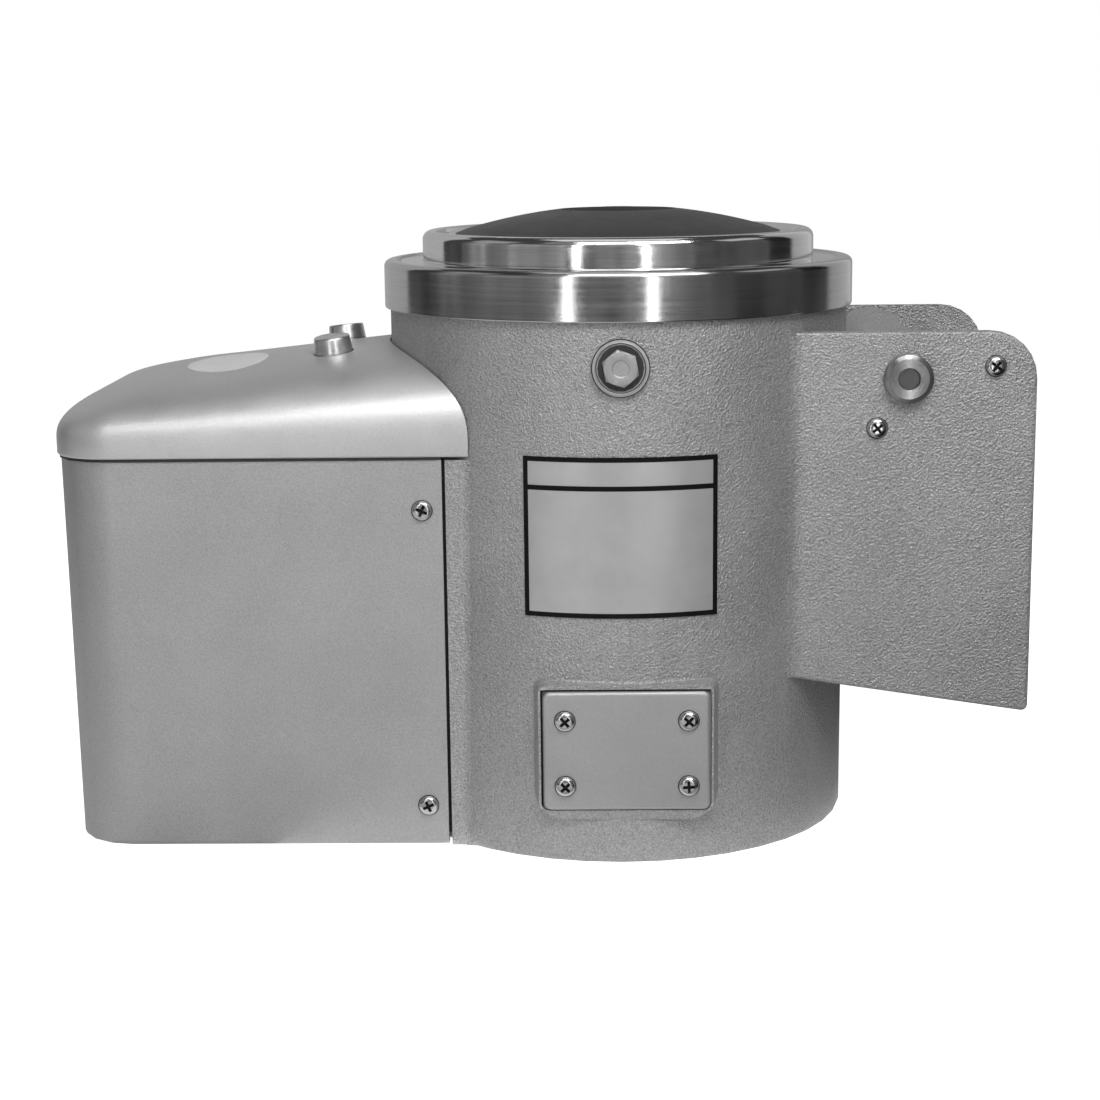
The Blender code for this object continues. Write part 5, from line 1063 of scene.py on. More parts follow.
@dataclass
class PivotCaps:
    """The turned caps that close the ends of the door's pivot."""

    make_finish: Callable[[str, Vector, Vector], bpy.types.Material]
    dish_painted_shade: bpy.types.Material
    steps: int = 120
    radius: float = 0.0165
    thickness: float = 0.0080
    chamfer: float = 0.0016
    dish_radius: float = 0.0070
    dish_depth: float = 0.0026

    def cap(self, name: str, side: Side) -> bpy.types.Object:
        """One cap: a coned face round a flat-bottomed dish."""
        outer, _ = faces_of(name, side.outward)
        seat = outer - side.outward * self.thickness
        face = self.thickness
        rim = self.radius - 2 * self.chamfer
        outline = [(0, face - self.dish_depth), (self.dish_radius - 0.0003, face - self.dish_depth),
                   (self.dish_radius, face - self.dish_depth + 0.0003), (self.dish_radius, face - 0.0008),
                   (self.dish_radius + 0.0004, face - 0.0004), (rim - 0.0004, face - 0.00010), (rim, face),
                   (rim + 0.0005, face - 0.0001), (self.radius - 0.0003, face - self.chamfer + 0.0003),
                   (self.radius, face - self.chamfer - 0.0003), (self.radius, 0.0003), (self.radius - 0.0003, 0), (0, 0)]
        piece = flat_faces(mesh_piece(f"{name}_turned", turned_shape(outline, self.steps), 24))
        piece.data.materials.append(self.make_finish(f"{name}_finish", seat, side.outward))
        piece.data.materials.append(self.dish_painted_shade)
        # Faces of the dish take the dark finish: painted shade in the recessed centre.
        for plane in piece.data.polygons:
            middle = plane.center
            if hypot(middle.x, middle.y) < self.dish_radius + 0.0002 and middle.z > face / 2:
                plane.material_index = 1
        return dress(aimed(piece, seat, side.outward), self.dish_painted_shade, "machine", [name])

    def build(self) -> None:
        """Makes both caps."""
        self.cap("pivot_cap_near", Side.NEAR)
        self.cap("pivot_cap_far", Side.FAR)


@dataclass
class PanScrews:
    """Every pan-head screw, with its cross recess."""

    finish: bpy.types.Material
    recess_painted_shade: bpy.types.Material
    steps: int = 40
    head_radius: float = 0.0069
    # The skirt is a thin ring under the head's edge, shown near-black as a painted shadow.
    skirt: float = 0.0004
    head_height: float = 0.0036
    edge_height: float = 0.0010
    crown_radius: float = 0.0030
    shank_radius: float = 0.0024
    length: float = 0.0110
    recess_radius: float = 0.0040
    recess_half_width: float = 0.00095
    recess_depth: float = 0.0021
    turns: tuple[float, ...] = (44.0, 41.0, 3.0, 47.0, 24.0, 67.0, 35.0, 80.0, 38.0, 52.0, 61.0, 29.0)

    def head_outline(self) -> list[Point]:
        """Outline of the head and its shank, the head's underside at height zero."""
        dome = [(self.head_radius - 0.00015, self.edge_height)]
        for step in range(1, 8):
            turn = radians(90 * step / 8)
            across = self.crown_radius + (self.head_radius - 0.00015 - self.crown_radius) * cos(turn)
            dome.append((across, self.edge_height + (self.head_height - self.edge_height) * sin(turn)))
        return [(0, self.head_height), (self.crown_radius, self.head_height), *reversed(dome),
                (self.head_radius, self.edge_height * 0.7), (self.head_radius, 0.0003),
                (self.head_radius + self.skirt, 0.0002), (self.head_radius + self.skirt, 0),
                (self.shank_radius, 0), (self.shank_radius, -self.length), (0, -self.length)]

    def recess(self) -> bmesh.types.BMesh:
        """The tapered cross that is sunk into the head."""
        shape = bmesh.new()
        top, bottom = self.head_height + 0.0004, self.head_height - self.recess_depth
        for turn in (0.0, pi / 2):
            spin = Matrix.Rotation(turn, 4, "Z")
            rings = []
            for height, reach, half in ((top, self.recess_radius * 1.12, self.recess_half_width * 1.15),
                                        (bottom, self.recess_radius * 0.55, self.recess_half_width * 0.8)):
                corners = ((-reach, -half), (reach, -half), (reach, half), (-reach, half))
                rings.append([shape.verts.new(spin @ Vector((x, y, height + turn * 0.00001))) for x, y in corners])
            shape.faces.new(list(reversed(rings[0])))
            shape.faces.new(rings[1])
            for index in range(4):
                after = (index + 1) % 4
                shape.faces.new((rings[0][index], rings[0][after], rings[1][after], rings[1][index]))
        return shape

    def master(self) -> bpy.types.Mesh:
        """The head with its recess cut, made once for all the screws.

        Returns:
            The mesh, standing on the origin along +Z.
        """
        head = mesh_piece("screw_master", turned_shape(self.head_outline(), self.steps))
        cutter = mesh_piece("screw_recess", self.recess())
        head.data.materials.append(self.finish)
        # The cut takes this near-black finish: painted shade inside the cross recess.
        cutter.data.materials.append(self.recess_painted_shade)
        head.data.materials.append(self.recess_painted_shade)
        for face in cutter.data.polygons:
            face.material_index = 0
        cut = head.modifiers.new("recess", "BOOLEAN")
        cut.object = cutter
        cut.operation = "DIFFERENCE"
        cut.solver = "EXACT"
        cut.use_self = True
        cut.material_mode = "TRANSFER"
        graph = bpy.context.evaluated_depsgraph_get()
        mesh = bpy.data.meshes.new_from_object(head.evaluated_get(graph), depsgraph=graph)
        mesh.shade_smooth()
        mesh.set_sharp_from_angle(angle=radians(32))
        # The skirt and the head's lowest band take the near-black finish: a painted shadow ring under the head.
        for plane in mesh.polygons:
            if 0.0 <= plane.center.z < 0.00029:
                plane.material_index = 1
        for spare in (head, cutter):
            bpy.data.objects.remove(spare, do_unlink=True)
        return mesh

    def build(self) -> None:
        """Places a screw for every screw node."""
        master = self.master()
        names = sorted(name for name in frame["nodes"] if "_screw_" in name)
        for number, name in enumerate(names):
            low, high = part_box(name)
            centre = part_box("drum_body")
            side = Side.NEAR if (low.y + high.y) < (centre[0].y + centre[1].y) else Side.FAR
            face = low.y if side is Side.NEAR else high.y
            seat = Vector(((low.x + high.x) / 2, face, (low.z + high.z) / 2)) - side.outward * self.head_height
            piece = bpy.data.objects.new(f"{name}_cross", master.copy())
            bpy.context.scene.collection.objects.link(piece)
            aimed(piece, seat, side.outward, radians(self.turns[number % len(self.turns)]))
            dress(piece, self.finish, "machine", [name])
        bpy.data.meshes.remove(master)


@dataclass
class WaterPlug:
    """The hexagon plug in the front connection, and the turned ring that it seats in."""

    finish: bpy.types.Material
    ring_finish: bpy.types.Material
    groove_painted_shade: bpy.types.Material
    across_flats: float = 0.0220
    turn: float = 40.0
    head: float = 0.0040
    chamfer: float = 0.0007
    dish_radius: float = 0.0056
    dish_depth: float = 0.0005
    shank_radius: float = 0.0079
    shank_length: float = 0.0105
    ring_inner: float = 0.01535
    ring_ridge: float = 0.0168
    ring_outer: float = 0.0192
    ring_proud: float = 0.0007

    def plug(self) -> bpy.types.Object:
        """The plug: chamfered corners, and a shallow round dish in its face."""
        low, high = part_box("inlet_plug")
        face = self.head
        circle = 96
        corner = self.across_flats / 2 / cos(pi / 6)

        def reach(turn: float, limit: float) -> float:
            """Distance from the axis to the hexagon at an angle, cut off by a chamfer cone."""
            inside = (turn - radians(self.turn)) % (pi / 3) - pi / 6
            return min(self.across_flats / 2 / cos(inside), limit)

        shape = bmesh.new()
        rings = [(self.dish_radius - 0.0005, face - self.dish_depth), (self.dish_radius, face - self.dish_depth * 0.2),
                 (self.dish_radius + 0.0003, face)]
        levels = [(self.across_flats / 2 - 0.0004, face), (self.across_flats / 2 + self.chamfer * 0.3, face - self.chamfer * 0.35),
                  (corner, face - self.chamfer * 1.8), (corner, 0.0), (self.shank_radius, 0.0),
                  (self.shank_radius, -self.shank_length)]
        rows = []
        for limit, height in rings + levels:
            turns = [2 * pi * step / circle for step in range(circle)]
            rows.append([shape.verts.new((reach(t, limit) * cos(t), reach(t, limit) * sin(t), height)) for t in turns])
        for first, second in zip(rows, rows[1:]):
            for index in range(circle):
                after = (index + 1) % circle
                shape.faces.new((first[index], first[after], second[after], second[index]))
        shape.faces.new(rows[0])
        shape.faces.new(list(reversed(rows[-1])))
        piece = mesh_piece("plug_hexagon", shape, 25)
        centre = Vector(((low.x + high.x) / 2, low.y, (low.z + high.z) / 2)) - Side.NEAR.outward * (self.head + 0.0005)
        aimed(piece, centre, Side.NEAR.outward)
        return dress(piece, self.finish, "machine", ["inlet_plug"])

    def ring(self) -> bpy.types.Object:
        """The machined ring on the boss, with its narrow ridge."""
        low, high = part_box("plug_washer")
        reach = self.boss_face()
        seat = Vector(((low.x + high.x) / 2, reach, (low.z + high.z) / 2))
        proud = self.ring_proud
        ridge = self.ring_ridge
        outer = self.ring_outer
        outline = [(self.ring_inner, -0.0008), (self.ring_inner, proud * 0.8), (ridge - 0.0011, proud * 0.8),
                   (ridge - 0.0009, 0.0001), (ridge - 0.0006, 0.0001), (ridge - 0.0005, proud * 0.7),
                   *arc((ridge, proud * 0.7), 0.0005, 180, 0, 6), (outer - 0.0007, proud * 0.5), (outer - 0.0006, 0.0001),
                   (outer, 0.0001), (outer, -0.0008)]
        piece = mesh_piece("plug_boss_ring", turned_shape(outline, 96), 40)
        piece.data.materials.append(self.ring_finish)
        piece.data.materials.append(self.groove_painted_shade)
        # Faces low in the ring, in its grooves, take a dark finish: painted shade in the grooves.
        for plane in piece.data.polygons:
            if plane.center.z < proud * 0.45:
                plane.material_index = 1
        return dress(aimed(piece, seat, Side.NEAR.outward), self.ring_finish, "machine")

    def boss_face(self) -> float:
        """Finds how far forward the round boss stands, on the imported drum."""
        low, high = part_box("plug_washer")
        x, z = (low.x + high.x) / 2, (low.z + high.z) / 2
        tree = BVHTree.FromObject(frame["nodes"]["drum_body"], bpy.context.evaluated_depsgraph_get())
        start = Vector((x + (self.ring_inner + self.ring_outer) / 2, low.y - 0.1, z))
        hit, *_ = tree.ray_cast(start, Vector((0.0, 1.0, 0.0)))
        return hit.y

    def build(self) -> None:
        """Makes the plug and its ring."""
        self.plug()
        self.ring()


@dataclass
class BareLabels:
    """The instruction plate on the drum and the oval sticker on the cap, both left bare."""

    cap: bpy.types.Object
    face_finish: bpy.types.Material
    ink_finish: bpy.types.Material
    sticker_finish: bpy.types.Material
    angle_left: float = -23.3
    angle_right: float = 23.0
    bottom: float = 0.1700
    top: float = 0.2777
    border: float = 0.0033
    divider_top: float = 0.2587
    divider: float = 0.0034
    thickness: float = 0.0005
    drum_radius: float = 0.1630
    draft: float = 0.0009
    drum_height: float = 0.3900
    sticker_centre: Point = (-0.2222, -0.0470)
    sticker_radii: Point = (0.0285, 0.0300)
    sticker_turn: float = 22.0

    def radius_at(self, height: float) -> float:
        """Radius of the drum's wall at a height. The draft is multiplied by zero here, so the radius is the same at
        every height.
        """
        return self.drum_radius - self.draft * (1 - height / self.drum_height) * 0.0

    def plate(self) -> bpy.types.Object:
        """The curved plate: a bare face, a printed border and one printed rule under the header."""
        low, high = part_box("rim_ring")
        centre = Vector(((low.x + high.x) / 2, (low.y + high.y) / 2, 0.0))
        across = degrees(self.border / self.drum_radius)
        left, right = self.angle_left, self.angle_right
        middle = [left + across + (right - left - 2 * across) * share / 24 for share in range(25)]
        columns = [left, *middle, right]
        rows = [self.bottom, self.bottom + self.border, self.divider_top - self.divider, self.divider_top,
                self.top - self.border, self.top]
        shape = bmesh.new()
        skins = []
        for lift in (0.0, self.thickness):
            grid = []
            for height in rows:
                reach = self.surface_radius(centre, height) + lift
                grid.append([shape.verts.new((centre.x + reach * sin(radians(a)), centre.y - reach * cos(radians(a)), height))
                             for a in columns])
            skins.append(grid)
        back, front = skins
        for j in range(len(rows) - 1):
            for i in range(len(columns) - 1):
                face = shape.faces.new((front[j][i], front[j][i + 1], front[j + 1][i + 1], front[j + 1][i]))
                inked = i in (0, len(columns) - 2) or j in (0, 2, len(rows) - 2)
                face.material_index = 1 if inked else 0
                shape.faces.new((back[j][i], back[j + 1][i], back[j + 1][i + 1], back[j][i + 1])).material_index = 1
        last_row, last_column = len(rows) - 1, len(columns) - 1
        for i in range(last_column):
            shape.faces.new((back[0][i], back[0][i + 1], front[0][i + 1], front[0][i])).material_index = 1
            shape.faces.new((front[last_row][i], front[last_row][i + 1], back[last_row][i + 1], back[last_row][i])).material_index = 1
        for j in range(last_row):
            shape.faces.new((front[j][0], front[j + 1][0], back[j + 1][0], back[j][0])).material_index = 1
            shape.faces.new((back[j][last_column], back[j + 1][last_column], front[j + 1][last_column],
                             front[j][last_column])).material_index = 1
        piece = mesh_piece("instruction_plate_bare", shape)
        piece.data.materials.append(self.face_finish)
        piece.data.materials.append(self.ink_finish)
        return dress(piece, self.face_finish, "machine")

    def surface_radius(self, centre: Vector, height: float) -> float:
        """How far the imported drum's front reaches at a height, so that the plate lies on its facets."""
        tree = BVHTree.FromObject(frame["nodes"]["drum_body"], bpy.context.evaluated_depsgraph_get())
        reaches = []
        for turn in range(-22, 23, 2):
            way = Vector((sin(radians(turn)), -cos(radians(turn)), 0.0))
            hit, *_ = tree.ray_cast(Vector((centre.x, centre.y, height)) + way, -way)
            reaches.append(hypot(hit.x - centre.x, hit.y - centre.y))
        return max(reaches)

    def sticker(self) -> bpy.types.Object:
        """The pale oval sticker, laid on the cap."""
        tree = BVHTree.FromObject(self.cap, bpy.context.evaluated_depsgraph_get())
        turn = radians(self.sticker_turn)

        def on_cap(share: float, angle: float, lift: float) -> Vector:
            """A point of the sticker, dropped onto the cap."""
            u, v = self.sticker_radii[0] * share * cos(angle), self.sticker_radii[1] * share * sin(angle)
            x = self.sticker_centre[0] + u * cos(turn) - v * sin(turn)
            y = self.sticker_centre[1] + u * sin(turn) + v * cos(turn)
            hit, normal, *_ = tree.ray_cast(Vector((x, y, 1.0)), Vector((0.0, 0.0, -1.0)))
            return hit + normal * lift

        shape = bmesh.new()
        spokes = 72
        skins = []
        for lift in (0.00005, 0.00035):
            hub = shape.verts.new(on_cap(0.0, 0.0, lift))
            rings = [[shape.verts.new(on_cap(share / 8, 2 * pi * step / spokes, lift)) for step in range(spokes)]
                     for share in range(1, 9)]
            for index in range(spokes):
                after = (index + 1) % spokes
                shape.faces.new((hub, rings[0][index], rings[0][after]))
                for inner, outer in zip(rings, rings[1:]):
                    shape.faces.new((inner[index], outer[index], outer[after], inner[after]))
            skins.append(rings[-1])
        for index in range(spokes):
            after = (index + 1) % spokes
            shape.faces.new((skins[0][index], skins[0][after], skins[1][after], skins[1][index]))
        piece = mesh_piece("cap_sticker_bare", shape)
        return dress(piece, self.sticker_finish, "machine")

    def build(self) -> None:
        """Makes the plate and the sticker."""
        self.plate()
        self.sticker()


# ---------------------------------------------------------------------------------------------
# Studio
# ---------------------------------------------------------------------------------------------


@dataclass(frozen=True)
class PhotoCamera:
    """The camera of the photograph, fitted to the machine's circles and upright edges."""

    place: tuple[float, float, float] = (0.03788, -1.59906, 0.49237)
    yaw: float = -0.0217
    pitch: float = 0.1912
    roll: float = -0.0111
    lens: float = 72.08
    sensor: float = 36.0

    def build(self) -> bpy.types.Object:
        """Makes the camera and sets it as the scene's.

        Returns:
            The camera.
        """
        ahead = Vector((sin(self.yaw) * cos(self.pitch), cos(self.yaw) * cos(self.pitch), -sin(self.pitch)))
        right = Vector((cos(self.yaw), -sin(self.yaw), 0.0))
        up = right.cross(ahead)
        turned_right = right * cos(self.roll) + up * sin(self.roll)
        turned_up = -right * sin(self.roll) + up * cos(self.roll)
        data = bpy.data.cameras.new("photo_camera")
        data.lens = self.lens
        data.sensor_width = self.sensor
        data.clip_end = 50.0
        camera = bpy.data.objects.new("photo_camera", data)
        camera.matrix_world = Matrix((
            (turned_right.x, turned_up.x, -ahead.x, self.place[0]),
            (turned_right.y, turned_up.y, -ahead.y, self.place[1]),
            (turned_right.z, turned_up.z, -ahead.z, self.place[2]),
            (0.0, 0.0, 0.0, 1.0)))
        bpy.context.scene.collection.objects.link(camera)
        bpy.context.scene.camera = camera
        return camera


@dataclass(frozen=True)
class Softbox:
    """A square lamp round the machine: its bearing from the camera's side, its rise, and how far off it stands."""

    name: str
    bearing: float
    rise: float
    distance: float
    width: float
    height: float
    power: float
    target: tuple[float, float, float] = (0.03, 0.0, 0.25)

    def build(self) -> bpy.types.Object:
        """Makes the lamp.

        Returns:
            The lamp.
        """
        data = bpy.data.lights.new(self.name, "AREA")
        data.shape = "RECTANGLE"
        data.size = self.width
        data.size_y = self.height
        data.energy = self.power
        lamp = bpy.data.objects.new(self.name, data)
        bearing, rise = radians(self.bearing), radians(self.rise)
        away = Vector((sin(bearing) * cos(rise), -cos(bearing) * cos(rise), sin(rise)))
        place = Vector(self.target) + away * self.distance
        lamp.matrix_world = Matrix.Translation(place) @ (-away).to_track_quat("-Z", "Y").to_matrix().to_4x4()
        bpy.context.scene.collection.objects.link(lamp)
        return lamp


@dataclass(frozen=True)
class Card:
    """A curved studio card that only reflections see, round the machine at a radius, its angles from the camera's side.

    Its tone runs evenly from one end to the other.
    """

    name: str
    start: float
    end: float
    start_tone: float
    end_tone: float
    low: float = 0.0
    high: float = 1.05
    radius: float = 1.30
    folds: float = 0.25
    step: float = 1.5

    def build(self) -> bpy.types.Object:
        """Makes the card.

        Returns:
            The card.
        """
        shape = bmesh.new()
        layer = shape.verts.layers.float_color.new("tone")
        columns = []
        count = max(2, round((self.end - self.start) / self.step))
        for index in range(count + 1):
            share = index / count
            turn = radians(self.start + (self.end - self.start) * share)
            tone = self.start_tone + (self.end_tone - self.start_tone) * share
            column = [shape.verts.new((self.radius * sin(turn), -self.radius * cos(turn), height)) for height in (self.low, self.high)]
            for vertex in column:
                vertex[layer] = (tone, tone, tone, 1.0)
            columns.append(column)
        for first, second in zip(columns, columns[1:]):
            shape.faces.new((first[0], second[0], second[1], first[1]))
        piece = mesh_piece(self.name, shape)
        piece.data.materials.append(self.material())
        unseen(piece)
        return piece

    def material(self) -> bpy.types.Material:
        """A plain glow in the card's tone, with soft upright folds."""
        material = bpy.data.materials.new(self.name)
        material.use_nodes = True
        tree = material.node_tree
        tree.nodes.clear()
        out = tree.nodes.new("ShaderNodeOutputMaterial")
        glow = tree.nodes.new("ShaderNodeEmission")
        tone = tree.nodes.new("ShaderNodeVertexColor")
        tone.layer_name = "tone"
        place = tree.nodes.new("ShaderNodeTexCoord")
        upright = tree.nodes.new("ShaderNodeMapping")
        upright.inputs["Scale"].default_value = (1.0, 1.0, 0.08)
        folds = tree.nodes.new("ShaderNodeTexNoise")
        folds.inputs["Scale"].default_value = 9.0
        folds.inputs["Detail"].default_value = 2.0
        amount = tree.nodes.new("ShaderNodeMapRange")
        for key, value in {"From Min": 0.3, "From Max": 0.7, "To Min": 1.0 - self.folds, "To Max": 1.0 + self.folds}.items():
            amount.inputs[key].default_value = value
        tree.links.new(place.outputs["Object"], upright.inputs["Vector"])
        tree.links.new(upright.outputs[0], folds.inputs["Vector"])
        tree.links.new(folds.outputs["Fac"], amount.inputs["Value"])
        tree.links.new(amount.outputs[0], glow.inputs["Strength"])
        tree.links.new(tone.outputs["Color"], glow.inputs["Color"])
        tree.links.new(glow.outputs[0], out.inputs[0])
        return material


@dataclass(frozen=True)
class Mat:
    """A flat card on the floor that only reflections see: a sector of a ring round the machine, in one tone."""

    name: str
    start: float
    end: float
    tone: float
    inner: float = 0.33
    outer: float = 1.30
    height: float = 0.0008
    step: float = 3.0

    def build(self) -> bpy.types.Object:
        """Makes the mat.

        Returns:
            The mat.
        """
        shape = bmesh.new()
        count = max(2, round((self.end - self.start) / self.step))
        turns = [radians(self.start + (self.end - self.start) * index / count) for index in range(count + 1)]
        rows = [[shape.verts.new((reach * sin(turn), -reach * cos(turn), self.height)) for reach in (self.inner, self.outer)]
                for turn in turns]
        for first, second in zip(rows, rows[1:]):
            shape.faces.new((first[0], second[0], second[1], first[1]))
        piece = mesh_piece(self.name, shape)
        material = bpy.data.materials.new(self.name)
        material.use_nodes = True
        tree = material.node_tree
        tree.nodes.clear()
        out = tree.nodes.new("ShaderNodeOutputMaterial")
        glow = tree.nodes.new("ShaderNodeEmission")
        glow.inputs["Color"].default_value = (1.0, 1.0, 1.0, 1.0)
        glow.inputs["Strength"].default_value = self.tone
        tree.links.new(glow.outputs[0], out.inputs[0])
        piece.data.materials.append(material)
        unseen(piece)
        return piece


def unseen(piece: bpy.types.Object) -> None:
    """Leaves a studio piece to reflections alone."""
    piece.visible_camera = False
    piece.visible_diffuse = False
    piece.visible_transmission = False
    piece.visible_shadow = False


@dataclass(frozen=True)
class Studio:
    """Pale floor, white surroundings, soft lamps, and the cards that the polished metal shows."""

    ambient: float = 0.06
    floor_tone: float = 0.80
    floor_glow: float = 0.95
    room_tone: float = 0.06
    room_radius: float = 3.4
    cards: tuple[Card, ...] = (
        Card("low_left_dark", -118.0, -99.0, 0.140, 0.060, high=TIER_EDGE),
        Card("low_left_dim", -99.0, -84.0, 0.070, 0.130, high=TIER_EDGE),
        Card("low_left", -84.0, -36.0, 0.105, 0.155, high=TIER_EDGE),
        Card("low_left_glow", -36.0, -26.0, 0.120, 0.300, high=TIER_EDGE),
        Card("low_middle_left", -17.0, -4.0, 0.260, 0.080, high=TIER_EDGE),
        Card("low_middle", -4.0, 1.0, 0.050, 0.060, high=TIER_EDGE),
        Card("low_middle_right", 1.0, 12.0, 0.100, 0.320, high=TIER_EDGE),
        Card("low_right_glow", 21.0, 33.0, 0.330, 0.130, high=TIER_EDGE),
        Card("low_right", 33.0, 55.0, 0.180, 0.120, high=TIER_EDGE),
        Card("low_right_dark", 55.0, 70.0, 0.060, 0.040, high=TIER_EDGE),
        Card("low_right_dim", 70.0, 102.0, 0.070, 0.060, high=TIER_EDGE),
        Card("low_right_far", 102.0, 114.0, 0.090, 0.100, high=TIER_EDGE),
        Card("high_left_dark", -118.0, -98.0, 0.050, 0.070, low=TIER_EDGE),
        Card("high_left_rise", -98.0, -78.0, 0.120, 0.380, low=TIER_EDGE),
        Card("high_left_band", -78.0, -61.0, 0.180, 0.190, low=TIER_EDGE),
        Card("high_left", -61.0, -33.0, 0.360, 0.290, low=TIER_EDGE),
        Card("high_left_glow", -33.0, -26.0, 0.330, 0.480, low=TIER_EDGE),
        Card("high_middle_left", -18.0, -10.0, 0.300, 0.150, low=TIER_EDGE),
        Card("high_middle", -10.0, 1.0, 0.260, 0.260, low=TIER_EDGE),
        Card("high_middle_right", 1.0, 13.0, 0.190, 0.450, low=TIER_EDGE),
        Card("high_right_glow", 20.0, 30.0, 0.550, 0.240, low=TIER_EDGE),
        Card("high_right", 30.0, 43.0, 0.230, 0.190, low=TIER_EDGE),
        Card("high_right_dim", 43.0, 92.0, 0.090, 0.100, low=TIER_EDGE),
        Card("high_right_dark", 92.0, 112.0, 0.022, 0.022, low=TIER_EDGE),
        Card("back_right", 114.0, 150.0, 0.400, 0.600, high=1.50, folds=0.02),
        Card("back_mid", 150.0, 172.0, 0.350, 0.350, high=1.50, folds=0.02),
        Card("back_left", 172.0, 242.0, 0.400, 0.500, high=1.50, folds=0.02),
    )
    mats: tuple[Mat, ...] = (
        Mat("mat_close", -180.0, 180.0, 1.00, inner=0.15, outer=0.23),
        Mat("mat_near", -180.0, 180.0, 0.42, inner=0.23, outer=0.33),
        Mat("mat_left", -150.0, -40.0, 0.68),
        Mat("mat_front", -40.0, 25.0, 0.68),
        Mat("mat_right", 25.0, 150.0, 0.01),
        Mat("mat_back", 150.0, 210.0, 0.03),
    )
    lamps: tuple[Softbox, ...] = (
        Softbox("key_box", -30.0, 48.0, 2.3, 1.10, 0.80, 0.6),
        Softbox("front_box", -2.0, 50.0, 2.2, 1.20, 0.70, 15.0),
        Softbox("fill_box", 28.0, 48.0, 2.3, 1.10, 0.80, 21.6),
        Softbox("top_box", 0.0, 88.0, 2.0, 1.40, 1.00, 3.8),
        Softbox("left_box", -85.0, 35.0, 2.2, 1.00, 1.00, 1.0),
        Softbox("right_box", 85.0, 35.0, 2.2, 1.00, 1.00, 1.6),
        Softbox("back_box", 180.0, 34.0, 2.2, 1.20, 1.00, 4.5),
        Softbox("front_low_box", -4.0, 27.0, 2.2, 1.40, 0.50, 7.2),
        Softbox("strip_left", -22.6, 0.0, 1.20, 0.062, 0.90, 0.85, (0.054, -0.012, 0.48)),
        Softbox("strip_right", 14.8, 0.0, 1.20, 0.062, 0.90, 0.95, (0.054, -0.012, 0.48)),
    )

    def world(self) -> None:
        """White where the camera or a reflection looks, and plain soft light elsewhere."""
        world = bpy.data.worlds.new("studio_air")
        world.use_nodes = True
        tree = world.node_tree
        tree.nodes.clear()
        out = tree.nodes.new("ShaderNodeOutputWorld")
        mix = tree.nodes.new("ShaderNodeMixShader")
        seen = tree.nodes.new("ShaderNodeBackground")
        seen.inputs["Color"].default_value = (1.0, 1.0, 1.0, 1.0)
        light = tree.nodes.new("ShaderNodeBackground")
        light.inputs["Color"].default_value = (1.0, 1.0, 1.0, 1.0)
        light.inputs["Strength"].default_value = self.ambient
        tree.links.new(self.looked_at(tree), mix.inputs[0])
        tree.links.new(light.outputs[0], mix.inputs[1])
        tree.links.new(seen.outputs[0], mix.inputs[2])
        tree.links.new(mix.outputs[0], out.inputs[0])
        bpy.context.scene.world = world

    @staticmethod
    def looked_at(tree: bpy.types.NodeTree) -> bpy.types.NodeSocket:
        """One where a camera, glossy or transmitted ray looks, zero for other rays."""
        path = tree.nodes.new("ShaderNodeLightPath")
        total: bpy.types.NodeSocket = path.outputs["Is Camera Ray"]
        for name in ("Is Glossy Ray", "Is Transmission Ray"):
            larger = tree.nodes.new("ShaderNodeMath")
            larger.operation = "MAXIMUM"
            tree.links.new(total, larger.inputs[0])
            tree.links.new(path.outputs[name], larger.inputs[1])
            total = larger.outputs[0]
        return total

    def floor(self) -> bpy.types.Object:
        """The pale floor: it glows to the eye and keeps a soft shadow of the machine."""
        shape = bmesh.new()
        bmesh.ops.create_grid(shape, x_segments=8, y_segments=8, size=30.0)
        piece = mesh_piece("studio_floor", shape)
        material = bpy.data.materials.new("floor_paper")
        material.use_nodes = True
        tree = material.node_tree
        tree.nodes.clear()
        out = tree.nodes.new("ShaderNodeOutputMaterial")
        paper = tree.nodes.new("ShaderNodeBsdfDiffuse")
        paper.inputs["Color"].default_value = (self.floor_tone,) * 3 + (1.0,)
        glow = tree.nodes.new("ShaderNodeEmission")
        glow.inputs["Color"].default_value = (1.0, 1.0, 1.0, 1.0)
        amount = tree.nodes.new("ShaderNodeMath")
        amount.operation = "MULTIPLY"
        amount.inputs[1].default_value = self.floor_glow
        both = tree.nodes.new("ShaderNodeAddShader")
        tree.links.new(self.looked_at(tree), amount.inputs[0])
        tree.links.new(amount.outputs[0], glow.inputs["Strength"])
        tree.links.new(paper.outputs[0], both.inputs[0])
        tree.links.new(glow.outputs[0], both.inputs[1])
        tree.links.new(both.outputs[0], out.inputs[0])
        piece.data.materials.append(material)
        return piece

    def room(self) -> bpy.types.Object:
        """The dim room beyond the cards, which only reflections see."""
        shape = bmesh.new()
        bmesh.ops.create_uvsphere(shape, u_segments=48, v_segments=24, radius=self.room_radius)
        piece = mesh_piece("studio_room", shape)
        material = bpy.data.materials.new("room_wall")
        material.use_nodes = True
        tree = material.node_tree
        tree.nodes.clear()
        out = tree.nodes.new("ShaderNodeOutputMaterial")
        glow = tree.nodes.new("ShaderNodeEmission")
        glow.inputs["Color"].default_value = (1.0, 1.0, 1.0, 1.0)
        glow.inputs["Strength"].default_value = self.room_tone
        tree.links.new(glow.outputs[0], out.inputs[0])
        piece.data.materials.append(material)
        unseen(piece)
        return piece

    def build(self) -> None:
        """Sets up the whole studio."""
        self.world()
        self.floor()
        self.room()
        for card in (*self.cards, *self.mats):
            card.build()
        for lamp in self.lamps:
            lamp.build()
        bpy.context.scene.view_settings.view_transform = "Standard"
        PhotoCamera().build()


# ---------------------------------------------------------------------------------------------
# The whole machine
# ---------------------------------------------------------------------------------------------


